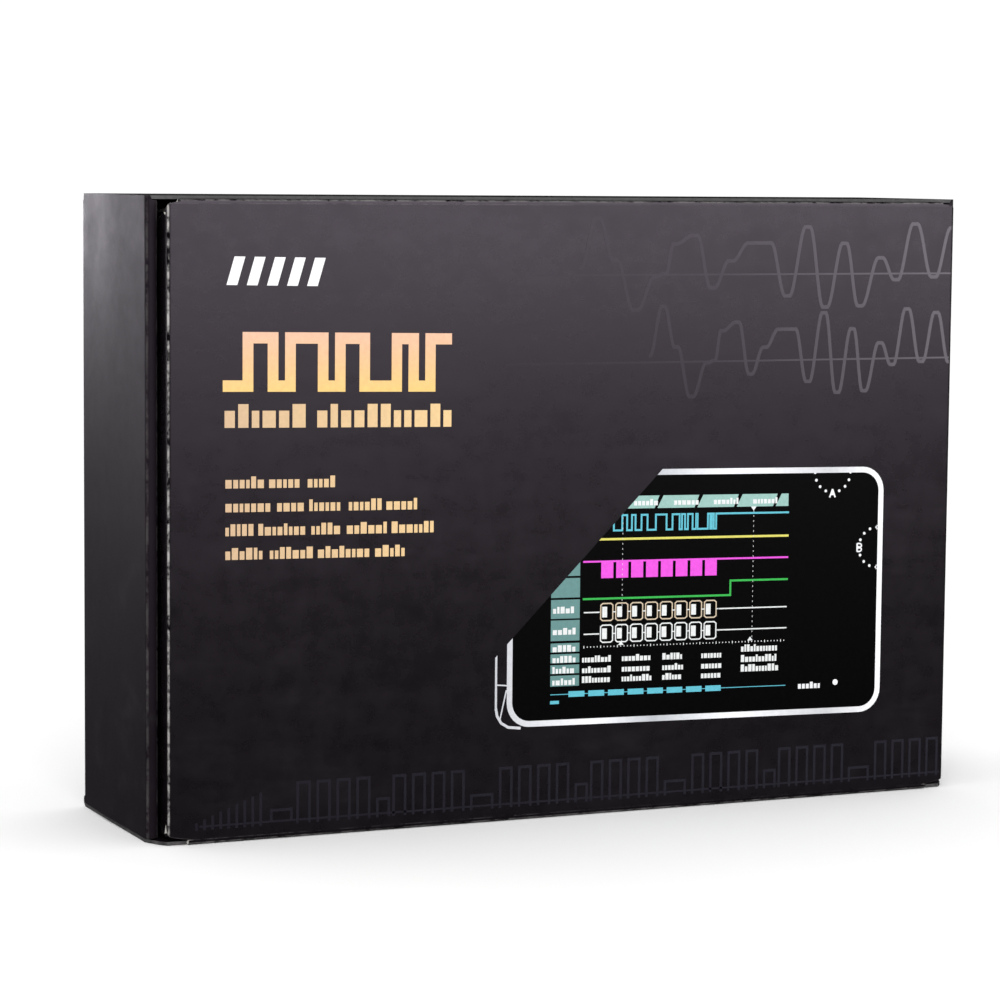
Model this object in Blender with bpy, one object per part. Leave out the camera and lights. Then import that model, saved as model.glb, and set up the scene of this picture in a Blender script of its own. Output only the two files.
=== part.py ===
"""A logic analyzer in its retail carton.

The carton stands on its long hinge edge: +X to the right, +Y into its depth, +Z up, with the printed lid
facing -Y. The origin is the centre of the face that it stands on. The carton is a folded mailer blank with
rolled side walls, a lid with two dust flaps and a tuck flap, three layers of foam, and the analyzer in the
foam's pocket. Units are metres.
"""

import math

import bmesh
import bpy
from mathutils import Matrix, Vector

MM = 0.001

# ---- carton, outside sizes and board ----
CARTON_WIDTH = 196 * MM
CARTON_HEIGHT = 137 * MM
CARTON_DEPTH = 51 * MM
BOARD = 0.75 * MM
CREASE_GAP = 0.25 * MM
LID_STANDS_PROUD = 5.0 * MM  # how far the lid's face lies in front of the side walls' rims

X_OUT = CARTON_WIDTH / 2
Y_FRONT = -CARTON_DEPTH / 2
Y_BACK = CARTON_DEPTH / 2
Y_RIM = Y_FRONT + LID_STANDS_PROUD
Y_BACK_INSIDE = Y_BACK - BOARD
Z_TOP = CARTON_HEIGHT
LAYER_PITCH = BOARD + CREASE_GAP
EAR_X = X_OUT - LAYER_PITCH  # outer face of the ears, between the two layers of each side wall
INNER_WALL_X = EAR_X - LAYER_PITCH
CAVITY_X = INNER_WALL_X - BOARD

EAR_LENGTH = 42 * MM
EAR_TAPER = 4 * MM

# ---- lid and its flaps ----
FLAP_CLEARANCE = 0.3 * MM
LID_X = CAVITY_X - FLAP_CLEARANCE
LID_TOP_Z = Z_TOP - 2 * BOARD
LID_CORNER_CUT = 1.2 * MM
DUST_FLAP_DEPTH = 35 * MM
DUST_FLAP_ENDS = (2.2 * MM, 133.8 * MM)
DUST_FLAP_TAPER = 12 * MM
TUCK_FLAP_DEPTH = 24 * MM
TUCK_FLAP_SLANT = math.radians(6.0)
TUCK_FLAP_INSET = 3 * MM
TUCK_FLAP_CORNER = 9 * MM

# ---- foam ----
FOAM_X = LID_X - BOARD - 0.5 * MM
FOAM_BOTTOM_Z = BOARD + CREASE_GAP
FOAM_TOP_Z = 130.4 * MM
FOAM_GAP = 0.3 * MM
BASE_FOAM = 12 * MM
MIDDLE_FOAM = 20 * MM
TOP_FOAM = 12 * MM
Y_BASE_FOAM = Y_BACK_INSIDE - FOAM_GAP - BASE_FOAM
Y_MIDDLE_FOAM = Y_BASE_FOAM - FOAM_GAP - MIDDLE_FOAM
Y_TOP_FOAM = Y_MIDDLE_FOAM - FOAM_GAP - TOP_FOAM
FOAM_CENTRE_Z = (FOAM_BOTTOM_Z + FOAM_TOP_Z) / 2

POCKET_CLEARANCE = 0.9 * MM
NOTCH_RADIUS = 10 * MM
LEADS_POCKET_SIZE = (50 * MM, 96 * MM)
LEADS_POCKET_X = 57 * MM
LEADS_POCKET_CORNER = 5 * MM

# ---- analyzer, in its own frame: u right, v up, d back from its front face ----
CASE_WIDTH = 100 * MM
CASE_HEIGHT = 56.5 * MM
CASE_THICK = 10.7 * MM
CASE_CORNER = 6 * MM
CASE_WALL = 2 * MM
FIT = 0.15 * MM  # clearance between the analyzer's own parts
ANALYZER_X = -31 * MM
ANALYZER_Y = Y_MIDDLE_FOAM - FOAM_GAP - CASE_THICK
ANALYZER_Z = FOAM_CENTRE_Z

BEZEL_RIM = 1.6 * MM
WINDOW_THICK = 1.0 * MM
LEDGE_BACK_D = 1.8 * MM
LEDGE_OPENING = (93 * MM, 50.8 * MM)
REAR_COVER = 1.1 * MM
BEZEL_BACK_D = CASE_THICK - REAR_COVER - FIT

SCREEN_U = -6.5 * MM
SCREEN_V = -0.4 * MM
LCD_SIZE = (68 * MM, 49.6 * MM)
LCD_GLASS_D = (1.3 * MM, 2.3 * MM)
BACKLIGHT_D = (2.45 * MM, 3.9 * MM)

BOARD_FRONT_D = 4.3 * MM
BOARD_BACK_D = 5.3 * MM
PARTS_D = BOARD_BACK_D + FIT
BOARD_EDGE_GAP = 0.3 * MM
BOARD_CHAMFER = 7.6 * MM

SCREW_U = 45.6 * MM
SCREW_V = 23.9 * MM
BOSS_RADIUS = 1.9 * MM
BOSS_BORE = 0.9 * MM
SCREW_SHANK = 0.75 * MM
SCREW_HEAD = 1.7 * MM
SCREW_HEAD_HIGH = 0.7 * MM
SCREW_END_D = 5.2 * MM

WHEEL_RADIUS = 4.5 * MM
WHEEL_PROUD = 0.6 * MM
WHEEL_D = (6.0 * MM, 8.4 * MM)
WHEEL_TEETH = 24
WHEEL_TOOTH_DEEP = 0.25 * MM
WHEEL_INSET = WHEEL_RADIUS - WHEEL_PROUD
WHEEL_PLACES = {
    "a": (36.8 * MM, CASE_HEIGHT / 2 - WHEEL_INSET),
    "b": (CASE_WIDTH / 2 - WHEEL_INSET, 10.2 * MM),
}
WHEEL_SLOT_HALF = 4.6 * MM
WHEEL_SLOT_D = (5.7 * MM, 8.7 * MM)
AXLE_RADIUS = 1.0 * MM
AXLE_CLEARANCE = 0.07 * MM

KEY_COUNT = 4
KEY_FIRST_U = -38 * MM
KEY_PITCH = 12 * MM
KEY_LENGTH = 8 * MM
KEY_D = (6.1 * MM, 8.3 * MM)
KEY_PROUD = 0.5 * MM
KEY_FLANGE = 0.7 * MM
KEY_STEM = 0.4 * MM
KEY_TRAVEL = 0.4 * MM
SLOT_CLEARANCE = 0.12 * MM

USB_V = -12 * MM
PORT_V = 9 * MM
PORT_WAYS = 6
PORT_PITCH = 2.54 * MM
LED_PLACE = (37.8 * MM, -20.8 * MM)

ARC_STEPS = 6
ROUND_STEPS = 24


# ---- shapes ----
def arc(centre, radius, start, end, steps):
    """Points on an arc, angles in degrees, both ends included."""
    angles = [math.radians(start + (end - start) * i / steps) for i in range(steps + 1)]
    return [(centre[0] + radius * math.cos(a), centre[1] + radius * math.sin(a)) for a in angles]


def circle(radius, centre=(0, 0), steps=ROUND_STEPS):
    return arc(centre, radius, 0, 360, steps)[:-1]


def rectangle(low, high):
    return [(low[0], low[1]), (high[0], low[1]), (high[0], high[1]), (low[0], high[1])]


def centred_rectangle(width, height, centre=(0, 0)):
    return rectangle(
        (centre[0] - width / 2, centre[1] - height / 2), (centre[0] + width / 2, centre[1] + height / 2)
    )


def round_rectangle(width, height, radius, centre=(0, 0), steps=ARC_STEPS):
    outline = []
    corners = ((1, -1, -90), (1, 1, 0), (-1, 1, 90), (-1, -1, 180))
    for right, up, start in corners:
        middle = (centre[0] + right * (width / 2 - radius), centre[1] + up * (height / 2 - radius))
        outline += arc(middle, radius, start, start + 90, steps)
    return outline


# An outline's two numbers and its depth become a point: "X" extrudes along X, and so on.
PLACE = {
    "X": lambda a, b, depth: (depth, a, b),
    "Y": lambda a, b, depth: (a, depth, b),
    "Z": lambda a, b, depth: (a, b, depth),
}


def add_slab(bm, outline, axis, low, high, round_low=0.0, round_high=0.0):
    """One closed extrusion of an outline into bm, with either rim rounded if asked."""
    rings = [[bm.verts.new(PLACE[axis](a, b, depth)) for a, b in outline] for depth in (low, high)]
    faces = [bm.faces.new(ring) for ring in rings]
    for i in range(len(outline)):
        j = (i + 1) % len(outline)
        faces.append(bm.faces.new((rings[0][i], rings[0][j], rings[1][j], rings[1][i])))
    for ring_face, width in zip(faces[:2], (round_low, round_high)):
        if width:
            bmesh.ops.bevel(
                bm, geom=list(ring_face.edges), offset=width, segments=2, affect="EDGES", profile=0.5
            )
    return faces


def finished(name, bm, material, parent=None):
    """An object made from bm, with its faces turned outwards."""
    bmesh.ops.recalc_face_normals(bm, faces=bm.faces)
    mesh = bpy.data.meshes.new(name)
    bm.to_mesh(mesh)
    bm.free()
    obj = bpy.data.objects.new(name, mesh)
    bpy.context.scene.collection.objects.link(obj)
    if material is not None:
        mesh.materials.append(material)
    obj.parent = parent
    return obj


def slab(name, outline, axis, low, high, material, parent=None, round_low=0.0, round_high=0.0):
    bm = bmesh.new()
    add_slab(bm, outline, axis, low, high, round_low, round_high)
    return finished(name, bm, material, parent)


def helper(obj):
    """Marks an object as a cutter or an addition that a Boolean reads."""
    obj.hide_render = True
    obj.display_type = "WIRE"
    return obj


def boolean(obj, other, operation):
    modifier = obj.modifiers.new(f"{operation.lower()} {other.name}", "BOOLEAN")
    modifier.operation = operation
    modifier.solver = "EXACT"
    modifier.object = helper(other)
    return obj


def cut(obj, other):
    return boolean(obj, other, "DIFFERENCE")


def fuse(obj, other):
    return boolean(obj, other, "UNION")


def cutter(name, slabs, parent=None):
    """One helper mesh made of separate slabs, each (outline, axis, low, high)."""
    bm = bmesh.new()
    for outline, axis, low, high in slabs:
        add_slab(bm, outline, axis, low, high)
    return helper(finished(name, bm, None, parent))


def material(name, colour, roughness, metallic=0.0):
    made = bpy.data.materials.new(name)
    made.use_nodes = True
    shader = made.node_tree.nodes["Principled BSDF"]
    shader.inputs["Base Color"].default_value = (*colour, 1.0)
    shader.inputs["Roughness"].default_value = roughness
    shader.inputs["Metallic"].default_value = metallic
    return made


def smooth(obj):
    obj.data.shade_smooth()
    obj.data.set_sharp_from_angle(angle=math.radians(35))
    return obj


def anchor(name, location):
    empty = bpy.data.objects.new(name, None)
    bpy.context.scene.collection.objects.link(empty)
    empty.location = location
    return empty


# ---- carton ----
def carton_body(board):
    """The back panel, the hinge wall under the side walls' ends, and the tuck wall between their tops."""
    slab(
        "back_panel",
        rectangle((-X_OUT, 0), (X_OUT, Z_TOP)),
        "Y",
        Y_BACK_INSIDE,
        Y_BACK,
        board,
        round_high=0.4 * MM,
    )
    wall_back = Y_BACK_INSIDE - CREASE_GAP
    hinge_outline = [
        (-X_OUT, wall_back),
        (-X_OUT, Y_RIM),
        (-LID_X, Y_FRONT + LAYER_PITCH),
        (LID_X, Y_FRONT + LAYER_PITCH),
        (X_OUT, Y_RIM),
        (X_OUT, wall_back),
    ]
    slab("hinge_wall", hinge_outline, "Z", 0, BOARD, board)
    slab(
        "tuck_wall",
        rectangle((-EAR_X, Y_RIM), (EAR_X, wall_back)),
        "Z",
        Z_TOP - BOARD,
        Z_TOP,
        board,
    )


def side_wall(side, hand, board):
    """One rolled side wall: outer layer, two ears between the layers, and the inner layer with its rim."""

    def across(inner, outer):
        return sorted((hand * inner, hand * outer))

    wall_back = Y_BACK_INSIDE - CREASE_GAP
    behind_rim = Y_RIM + LAYER_PITCH
    low, high = across(X_OUT - BOARD, X_OUT)
    outer = rectangle((behind_rim, LAYER_PITCH), (wall_back, Z_TOP))
    slab(f"{side}_outer_wall", outer, "X", low, high, board)

    ear_front, ear_back = behind_rim + CREASE_GAP, wall_back - BOARD
    inside_low, inside_high = LAYER_PITCH, Z_TOP - LAYER_PITCH
    low, high = across(EAR_X - BOARD, EAR_X)
    for wall, root, tip in (
        ("hinge", inside_low, inside_low + EAR_LENGTH),
        ("tuck", inside_high, inside_high - EAR_LENGTH),
    ):
        outline = [
            (ear_front, root),
            (ear_back, root),
            (ear_back - EAR_TAPER, tip),
            (ear_front + EAR_TAPER, tip),
        ]
        slab(f"{side}_{wall}_ear", outline, "X", low, high, board)

    inner = hand * CAVITY_X
    layer = hand * INNER_WALL_X
    rim_end = hand * (X_OUT - 0.1 * MM)
    profile = [
        (inner, Y_RIM),
        (rim_end, Y_RIM),
        (rim_end, Y_RIM + BOARD),
        (layer, Y_RIM + BOARD),
        (layer, wall_back),
        (inner, wall_back),
    ]
    slab(f"{side}_rolled_wall", profile, "Z", inside_low, inside_high, board)


def lid(board):
    """The lid panel with its dust flaps. It turns about the outer corner of the hinge crease."""
    lid_hinge = anchor("lid_hinge", (0, Y_FRONT, 0))
    foot = CREASE_GAP
    panel_top = LID_TOP_Z - LAYER_PITCH
    cut_in = 4 * LID_CORNER_CUT
    outline = [
        (-LID_X + cut_in, foot),
        (LID_X - cut_in, foot),
        (LID_X, foot + LID_CORNER_CUT),
        (LID_X, panel_top),
        (-LID_X, panel_top),
        (-LID_X, foot + LID_CORNER_CUT),
    ]
    slab("lid_panel", outline, "Y", 0, BOARD, board, lid_hinge)
    low_end, high_end = DUST_FLAP_ENDS
    root = BOARD + CREASE_GAP
    tip = root + DUST_FLAP_DEPTH
    flap = [
        (root, low_end),
        (tip, low_end + DUST_FLAP_TAPER),
        (tip, high_end - DUST_FLAP_TAPER),
        (root, high_end),
    ]
    for side, hand in (("left", -1), ("right", 1)):
        low, high = sorted((hand * LID_X, hand * (LID_X - BOARD)))
        slab(f"{side}_dust_flap", flap, "X", low, high, board, lid_hinge)

    tuck_fold = anchor("tuck_flap_fold", (0, 0, LID_TOP_Z))
    tuck_fold.parent = lid_hinge
    half = LID_X - TUCK_FLAP_INSET
    root = 0.15 * MM
    tuck_outline = [(-half, root), (half, root)]
    tuck_outline += arc(
        (half - TUCK_FLAP_CORNER, TUCK_FLAP_DEPTH - TUCK_FLAP_CORNER), TUCK_FLAP_CORNER, 0, 90, ARC_STEPS
    )
    tuck_outline += arc(
        (TUCK_FLAP_CORNER - half, TUCK_FLAP_DEPTH - TUCK_FLAP_CORNER), TUCK_FLAP_CORNER, 90, 180, ARC_STEPS
    )
    flap = slab("tuck_flap", tuck_outline, "Z", -BOARD, 0, board, tuck_fold)
    flap.rotation_euler.x = -TUCK_FLAP_SLANT


def foam_layers(foam):
    """Three die-cut layers: a plain base, a middle with the leads pocket, and a top with both pockets."""
    block = rectangle((-FOAM_X, FOAM_BOTTOM_Z), (FOAM_X, FOAM_TOP_Z))
    slab("foam_base_layer", block, "Y", Y_BASE_FOAM, Y_BASE_FOAM + BASE_FOAM, foam)
    leads_pocket = round_rectangle(
        *LEADS_POCKET_SIZE, LEADS_POCKET_CORNER, (LEADS_POCKET_X, FOAM_CENTRE_Z)
    )
    through = (Y_TOP_FOAM - 5 * MM, Y_BASE_FOAM)

    middle = slab("foam_middle_layer", block, "Y", Y_MIDDLE_FOAM, Y_MIDDLE_FOAM + MIDDLE_FOAM, foam)
    cut(middle, cutter("middle_leads_pocket_cut", [(leads_pocket, "Y", *through)]))

    top = slab("foam_top_layer", block, "Y", Y_TOP_FOAM, Y_TOP_FOAM + TOP_FOAM, foam)
    cut(top, cutter("top_leads_pocket_cut", [(leads_pocket, "Y", *through)]))
    pocket = round_rectangle(
        CASE_WIDTH + 2 * POCKET_CLEARANCE,
        CASE_HEIGHT + 2 * POCKET_CLEARANCE,
        CASE_CORNER,
        (ANALYZER_X, ANALYZER_Z),
    )
    cut(top, cutter("analyzer_pocket_cut", [(pocket, "Y", *through)]))
    for name, up in (("upper", 1), ("lower", -1)):
        centre = (ANALYZER_X, ANALYZER_Z + up * CASE_HEIGHT / 2)
        notch = circle(NOTCH_RADIUS, centre)
        cut(top, cutter(f"{name}_finger_notch_cut", [(notch, "Y", *through)]))


# ---- analyzer ----
def bezel(case, aluminium):
    """The aluminium band: window recess, ledge, hollow, screw bosses, and slots for keys, wheels and ports."""
    outer = round_rectangle(CASE_WIDTH, CASE_HEIGHT, CASE_CORNER)
    band = slab("analyzer_bezel", outer, "Y", 0, BEZEL_BACK_D, aluminium, case, round_low=0.5 * MM)
    recess = round_rectangle(
        CASE_WIDTH - 2 * BEZEL_RIM, CASE_HEIGHT - 2 * BEZEL_RIM, CASE_CORNER - BEZEL_RIM
    )
    cut(band, cutter("window_recess_cut", [(recess, "Y", -MM, WINDOW_THICK + FIT)], case))
    ledge = round_rectangle(*LEDGE_OPENING, 2.5 * MM)
    cut(band, cutter("ledge_opening_cut", [(ledge, "Y", -MM, LEDGE_BACK_D + MM)], case))
    hollow = round_rectangle(
        CASE_WIDTH - 2 * CASE_WALL, CASE_HEIGHT - 2 * CASE_WALL, CASE_CORNER - CASE_WALL
    )
    cut(band, cutter("hollow_cut", [(hollow, "Y", LEDGE_BACK_D, CASE_THICK)], case))

    bosses, bores = [], []
    for right in (-1, 1):
        for up in (-1, 1):
            centre = (right * SCREW_U, up * SCREW_V)
            bosses.append((circle(BOSS_RADIUS, centre), "Y", LEDGE_BACK_D - 0.3 * MM, BEZEL_BACK_D))
            bores.append((circle(BOSS_BORE, centre, 12), "Y", SCREW_END_D - 0.6 * MM, CASE_THICK))
    fuse(band, cutter("screw_bosses", bosses, case))
    cut(band, cutter("boss_bores_cut", bores, case))
    cut(band, side_slots(case))
    return smooth(band)


def side_slots(case):
    """The openings through the band's sides."""
    top, right = CASE_HEIGHT / 2, CASE_WIDTH / 2
    slots = []
    for i in range(KEY_COUNT):
        centre = KEY_FIRST_U + i * KEY_PITCH
        half = KEY_LENGTH / 2 + SLOT_CLEARANCE
        low_d, high_d = KEY_D[0] - SLOT_CLEARANCE, KEY_D[1] + SLOT_CLEARANCE
        slots.append((rectangle((centre - half, low_d), (centre + half, high_d)), "Z", top - 3 * MM, top + MM))
    u, _ = WHEEL_PLACES["a"]
    slots.append(
        (
            rectangle((u - WHEEL_SLOT_HALF, WHEEL_SLOT_D[0]), (u + WHEEL_SLOT_HALF, WHEEL_SLOT_D[1])),
            "Z",
            top - 3 * MM,
            top + MM,
        )
    )
    _, v = WHEEL_PLACES["b"]
    slots.append(
        (
            rectangle((WHEEL_SLOT_D[0], v - WHEEL_SLOT_HALF), (WHEEL_SLOT_D[1], v + WHEEL_SLOT_HALF)),
            "X",
            right - 3 * MM,
            right + MM,
        )
    )
    usb_high, usb_wide = 3.4 * MM, 9.0 * MM
    usb = centred_rectangle(usb_high, usb_wide, (PARTS_D + 1.4 * MM, USB_V))
    slots.append((usb, "X", -right - MM, 3 * MM - right))
    port_high, port_wide = 3.0 * MM, PORT_WAYS * PORT_PITCH + 0.6 * MM
    port = centred_rectangle(port_high, port_wide, (PARTS_D + 1.4 * MM, PORT_V))
    slots.append((port, "X", -right - MM, 3 * MM - right))
    return cutter("side_slots_cut", slots, case)


def rear_cover(case, aluminium):
    outline = round_rectangle(CASE_WIDTH, CASE_HEIGHT, CASE_CORNER)
    back = CASE_THICK
    cover = slab("rear_cover", outline, "Y", back - REAR_COVER, back, aluminium, case, round_high=0.35 * MM)
    holes = []
    for right in (-1, 1):
        for up in (-1, 1):
            centre = (right * SCREW_U, up * SCREW_V)
            holes.append((circle(BOSS_BORE, centre, 12), "Y", back - 3 * MM, back - 0.5 * MM))
            counterbore = circle(SCREW_HEAD + FIT, centre)
            holes.append((counterbore, "Y", back - SCREW_HEAD_HIGH - FIT, back + MM))
    cut_holes = cutter("cover_holes_cut", holes[0::2], case)
    cut_heads = cutter("cover_counterbores_cut", holes[1::2], case)
    cut(cut(cover, cut_holes), cut_heads)
    smooth(cover)


def case_screw(number, centre, case, steel):
    """A small countersunk case screw with a hexagon socket."""
    head_back = CASE_THICK - 0.05 * MM
    head_front = head_back - SCREW_HEAD_HIGH
    screw = slab(
        f"case_screw_{number}", circle(SCREW_HEAD, centre), "Y", head_front, head_back, steel, case
    )
    shank = [(circle(SCREW_SHANK, centre, 12), "Y", SCREW_END_D, head_front + 0.2 * MM)]
    fuse(screw, cutter(f"case_screw_{number}_shank", shank, case))
    socket = [(circle(0.7 * MM, centre, 6), "Y", head_back - 0.45 * MM, head_back + MM)]
    cut(screw, cutter(f"case_screw_{number}_socket_cut", socket, case))
    smooth(screw)


def display(case, materials):
    """Window, display glass, backlight and the flat ribbon that joins the display to the board."""
    window = round_rectangle(
        CASE_WIDTH - 2 * (BEZEL_RIM + FIT),
        CASE_HEIGHT - 2 * (BEZEL_RIM + FIT),
        CASE_CORNER - BEZEL_RIM - FIT,
    )
    front = 0.05 * MM
    smooth(slab("front_window", window, "Y", front, front + WINDOW_THICK, materials["glass"], case))
    centre = (SCREEN_U, SCREEN_V)
    glass = centred_rectangle(*LCD_SIZE, centre)
    slab("display_glass", glass, "Y", *LCD_GLASS_D, materials["glass"], case)
    slab("display_backlight", glass, "Y", *BACKLIGHT_D, materials["steel"], case)
    ribbon_low = BACKLIGHT_D[1] + 0.1 * MM
    ribbon = rectangle((SCREEN_U - 10 * MM, -22 * MM), (SCREEN_U + 10 * MM, -8 * MM))
    slab("display_ribbon", ribbon, "Y", ribbon_low, ribbon_low + 0.2 * MM, materials["ribbon"], case)


def main_board(case, materials):
    """The circuit board with its chips, crystal, buzzer and light."""
    half_u = CASE_WIDTH / 2 - CASE_WALL - BOARD_EDGE_GAP
    half_v = CASE_HEIGHT / 2 - CASE_WALL - BOARD_EDGE_GAP
    cut_u, cut_v = half_u - BOARD_CHAMFER, half_v - BOARD_CHAMFER
    outline = [
        (-cut_u, -half_v),
        (cut_u, -half_v),
        (half_u, -cut_v),
        (half_u, cut_v),
        (cut_u, half_v),
        (-cut_u, half_v),
        (-half_u, cut_v),
        (-half_u, -cut_v),
    ]
    slab("main_board", outline, "Y", BOARD_FRONT_D, BOARD_BACK_D, materials["circuit"], case)
    chips = {
        "controller_chip": (10, 10, 1.4, -26, 14),
        "gate_array_chip": (12, 12, 1.4, -26, -1),
        "flash_chip": (5.2, 5.2, 1.6, -26, -13),
        "charger_chip": (3.2, 3.2, 1.0, -36, -14),
        "clock_crystal": (5, 3.2, 1.0, -36, -20),
    }
    for name, (wide, tall, thick, u, v) in chips.items():
        body = centred_rectangle(wide * MM, tall * MM, (u * MM, v * MM))
        slab(name, body, "Y", PARTS_D, PARTS_D + thick * MM, materials["plastic"], case)
    buzzer = circle(4.5 * MM, (36 * MM, -12 * MM))
    smooth(slab("buzzer", buzzer, "Y", PARTS_D, PARTS_D + 2.4 * MM, materials["plastic"], case))
    light = circle(0.8 * MM, LED_PLACE, 12)
    slab("status_light", light, "Y", 1.2 * MM, BOARD_FRONT_D - FIT, materials["light"], case)
    cell = round_rectangle(42 * MM, 34 * MM, 1.5 * MM, (6 * MM, -4 * MM), 3)
    slab("battery_cell", cell, "Y", 5.7 * MM, 9.2 * MM, materials["battery"], case, 0.6 * MM, 0.6 * MM)


def ports(case, materials):
    """The charging socket and the probe-lead socket, both on the left edge of the board."""
    mouth = 0.6 * MM - CASE_WIDTH / 2
    middle_d = PARTS_D + 1.4 * MM
    shell = centred_rectangle(2.6 * MM, 7.6 * MM, (middle_d, USB_V))
    usb = slab("usb_socket", shell, "X", mouth, mouth + 5.6 * MM, materials["steel"], case)
    opening = centred_rectangle(1.9 * MM, 6.9 * MM, (middle_d, USB_V))
    tongue = centred_rectangle(0.6 * MM, 3.8 * MM, (middle_d - 0.3 * MM, USB_V))
    cut(usb, cutter("usb_opening_cut", [(opening, "X", mouth - MM, mouth + 4.6 * MM)], case))
    fuse(usb, cutter("usb_tongue", [(tongue, "X", mouth + 0.8 * MM, mouth + 5 * MM)], case))

    block = centred_rectangle(2.6 * MM, PORT_WAYS * PORT_PITCH, (middle_d, PORT_V))
    port = slab("probe_port", block, "X", mouth, mouth + 8.5 * MM, materials["plastic"], case)
    holes = []
    for i in range(PORT_WAYS):
        v = PORT_V + (i - (PORT_WAYS - 1) / 2) * PORT_PITCH
        holes.append((centred_rectangle(0.9 * MM, 0.9 * MM, (middle_d, v)), "X", mouth - MM, mouth + 6.5 * MM))
    cut(port, cutter("probe_holes_cut", holes, case))


def key(number, case, materials):
    """One key: a cap through the band, with a flange behind it and a stem over its switch."""
    top = CASE_HEIGHT / 2
    u = KEY_FIRST_U + (number - 1) * KEY_PITCH
    flange_top = top - CASE_WALL - FIT
    flange_foot = flange_top - KEY_FLANGE
    middle_d = (KEY_D[0] + KEY_D[1]) / 2
    wide_d = KEY_D[1] - KEY_D[0]
    place = anchor(f"key_{number}_press", (u, middle_d, top))
    place.parent = case
    cap = centred_rectangle(KEY_LENGTH, wide_d)
    made = slab(
        f"key_{number}",
        cap,
        "Z",
        flange_foot - top,
        KEY_PROUD,
        materials["key"],
        place,
        round_high=0.25 * MM,
    )
    flange = centred_rectangle(KEY_LENGTH + 1.2 * MM, wide_d + 0.7 * MM)
    stem = centred_rectangle(1.6 * MM, 1.4 * MM)
    fuse(made, cutter(f"key_{number}_flange", [(flange, "Z", flange_foot - top, flange_top - top)], place))
    fuse(
        made,
        cutter(
            f"key_{number}_stem",
            [(stem, "Z", flange_foot - KEY_STEM - top, flange_foot + 0.2 * MM - top)],
            place,
        ),
    )
    plunger_top = flange_foot - KEY_STEM - KEY_TRAVEL - 0.1 * MM
    body_top = plunger_top - 0.9 * MM
    body = centred_rectangle(6 * MM, 2.5 * MM, (u, PARTS_D + 1.25 * MM))
    switch = slab(
        f"key_switch_{number}", body, "Z", body_top - 3.2 * MM, body_top, materials["steel"], case
    )
    plunger = centred_rectangle(2.0 * MM, 1.2 * MM, (u, middle_d - 0.3 * MM))
    fuse(switch, cutter(f"key_plunger_{number}", [(plunger, "Z", body_top - MM, plunger_top)], case))


def wheel(letter, case, materials):
    """One thumbwheel on its encoder's axle, with its rim through the band."""
    u, v = WHEEL_PLACES[letter]
    spin = anchor(f"wheel_{letter}_spin", (u, 0, v))
    spin.parent = case
    outline = []
    for i in range(WHEEL_TEETH):
        for part, radius in ((0.0, WHEEL_RADIUS), (0.5, WHEEL_RADIUS), (0.75, WHEEL_RADIUS - WHEEL_TOOTH_DEEP)):
            angle = 2 * math.pi * (i + part) / WHEEL_TEETH
            outline.append((radius * math.cos(angle), radius * math.sin(angle)))
    made = slab(f"wheel_{letter}", outline, "Y", *WHEEL_D, materials["wheel"], spin)
    bore = circle(AXLE_RADIUS + AXLE_CLEARANCE)
    cut(made, cutter(f"wheel_{letter}_bore_cut", [(bore, "Y", WHEEL_D[0] - MM, WHEEL_D[1] + MM)], spin))

    base = centred_rectangle(5.6 * MM, 5.6 * MM, (u, v))
    if letter == "a":
        base = rectangle((u - 2.8 * MM, v - 4 * MM), (u + 2.8 * MM, v + 1.4 * MM))
    else:
        base = rectangle((u - 4 * MM, v - 2.8 * MM), (u + 1.4 * MM, v + 2.8 * MM))
    plate_back = WHEEL_D[0] - FIT
    encoder = slab(f"encoder_{letter}", base, "Y", PARTS_D, plate_back, materials["steel"], case)
    axle = circle(AXLE_RADIUS, (u, v))
    fuse(encoder, cutter(f"encoder_{letter}_axle", [(axle, "Y", PARTS_D + 0.1 * MM, 8.9 * MM)], case))
    smooth(encoder)


def analyzer(materials):
    case = anchor("analyzer_lift", (ANALYZER_X, ANALYZER_Y, ANALYZER_Z))
    bezel(case, materials["aluminium"])
    rear_cover(case, materials["aluminium"])
    display(case, materials)
    main_board(case, materials)
    ports(case, materials)
    corners = [(right * SCREW_U, up * SCREW_V) for up in (1, -1) for right in (-1, 1)]
    for number, centre in enumerate(corners, 1):
        case_screw(number, centre, case, materials["steel"])
    for number in range(1, KEY_COUNT + 1):
        key(number, case, materials)
    for letter in WHEEL_PLACES:
        wheel(letter, case, materials)


def main():
    for obj in list(bpy.data.objects):
        bpy.data.objects.remove(obj, do_unlink=True)
    materials = {
        "board": material("black_printed_board", (0.035, 0.033, 0.038), 0.5),
        "foam": material("charcoal_foam", (0.05, 0.05, 0.055), 0.95),
        "aluminium": material("silver_aluminium", (0.75, 0.76, 0.78), 0.3, 1.0),
        "glass": material("black_backed_window", (0.01, 0.01, 0.012), 0.06),
        "steel": material("bright_steel", (0.6, 0.6, 0.6), 0.3, 1.0),
        "ribbon": material("amber_ribbon", (0.55, 0.28, 0.05), 0.4),
        "circuit": material("green_circuit_board", (0.02, 0.16, 0.07), 0.45),
        "plastic": material("black_plastic", (0.02, 0.02, 0.02), 0.5),
        "light": material("clear_light_guide", (0.8, 0.85, 0.85), 0.2),
        "battery": material("silver_pouch", (0.55, 0.56, 0.6), 0.35, 0.6),
        "key": material("silver_key", (0.65, 0.66, 0.68), 0.35, 0.9),
        "wheel": material("black_wheel", (0.03, 0.03, 0.03), 0.55),
    }
    carton_body(materials["board"])
    for side, hand in (("left", -1), ("right", 1)):
        side_wall(side, hand, materials["board"])
    lid(materials["board"])
    foam_layers(materials["foam"])
    analyzer(materials)


main()
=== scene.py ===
import math
import random

import bmesh
import bpy
from mathutils import Matrix, Vector, noise


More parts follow.
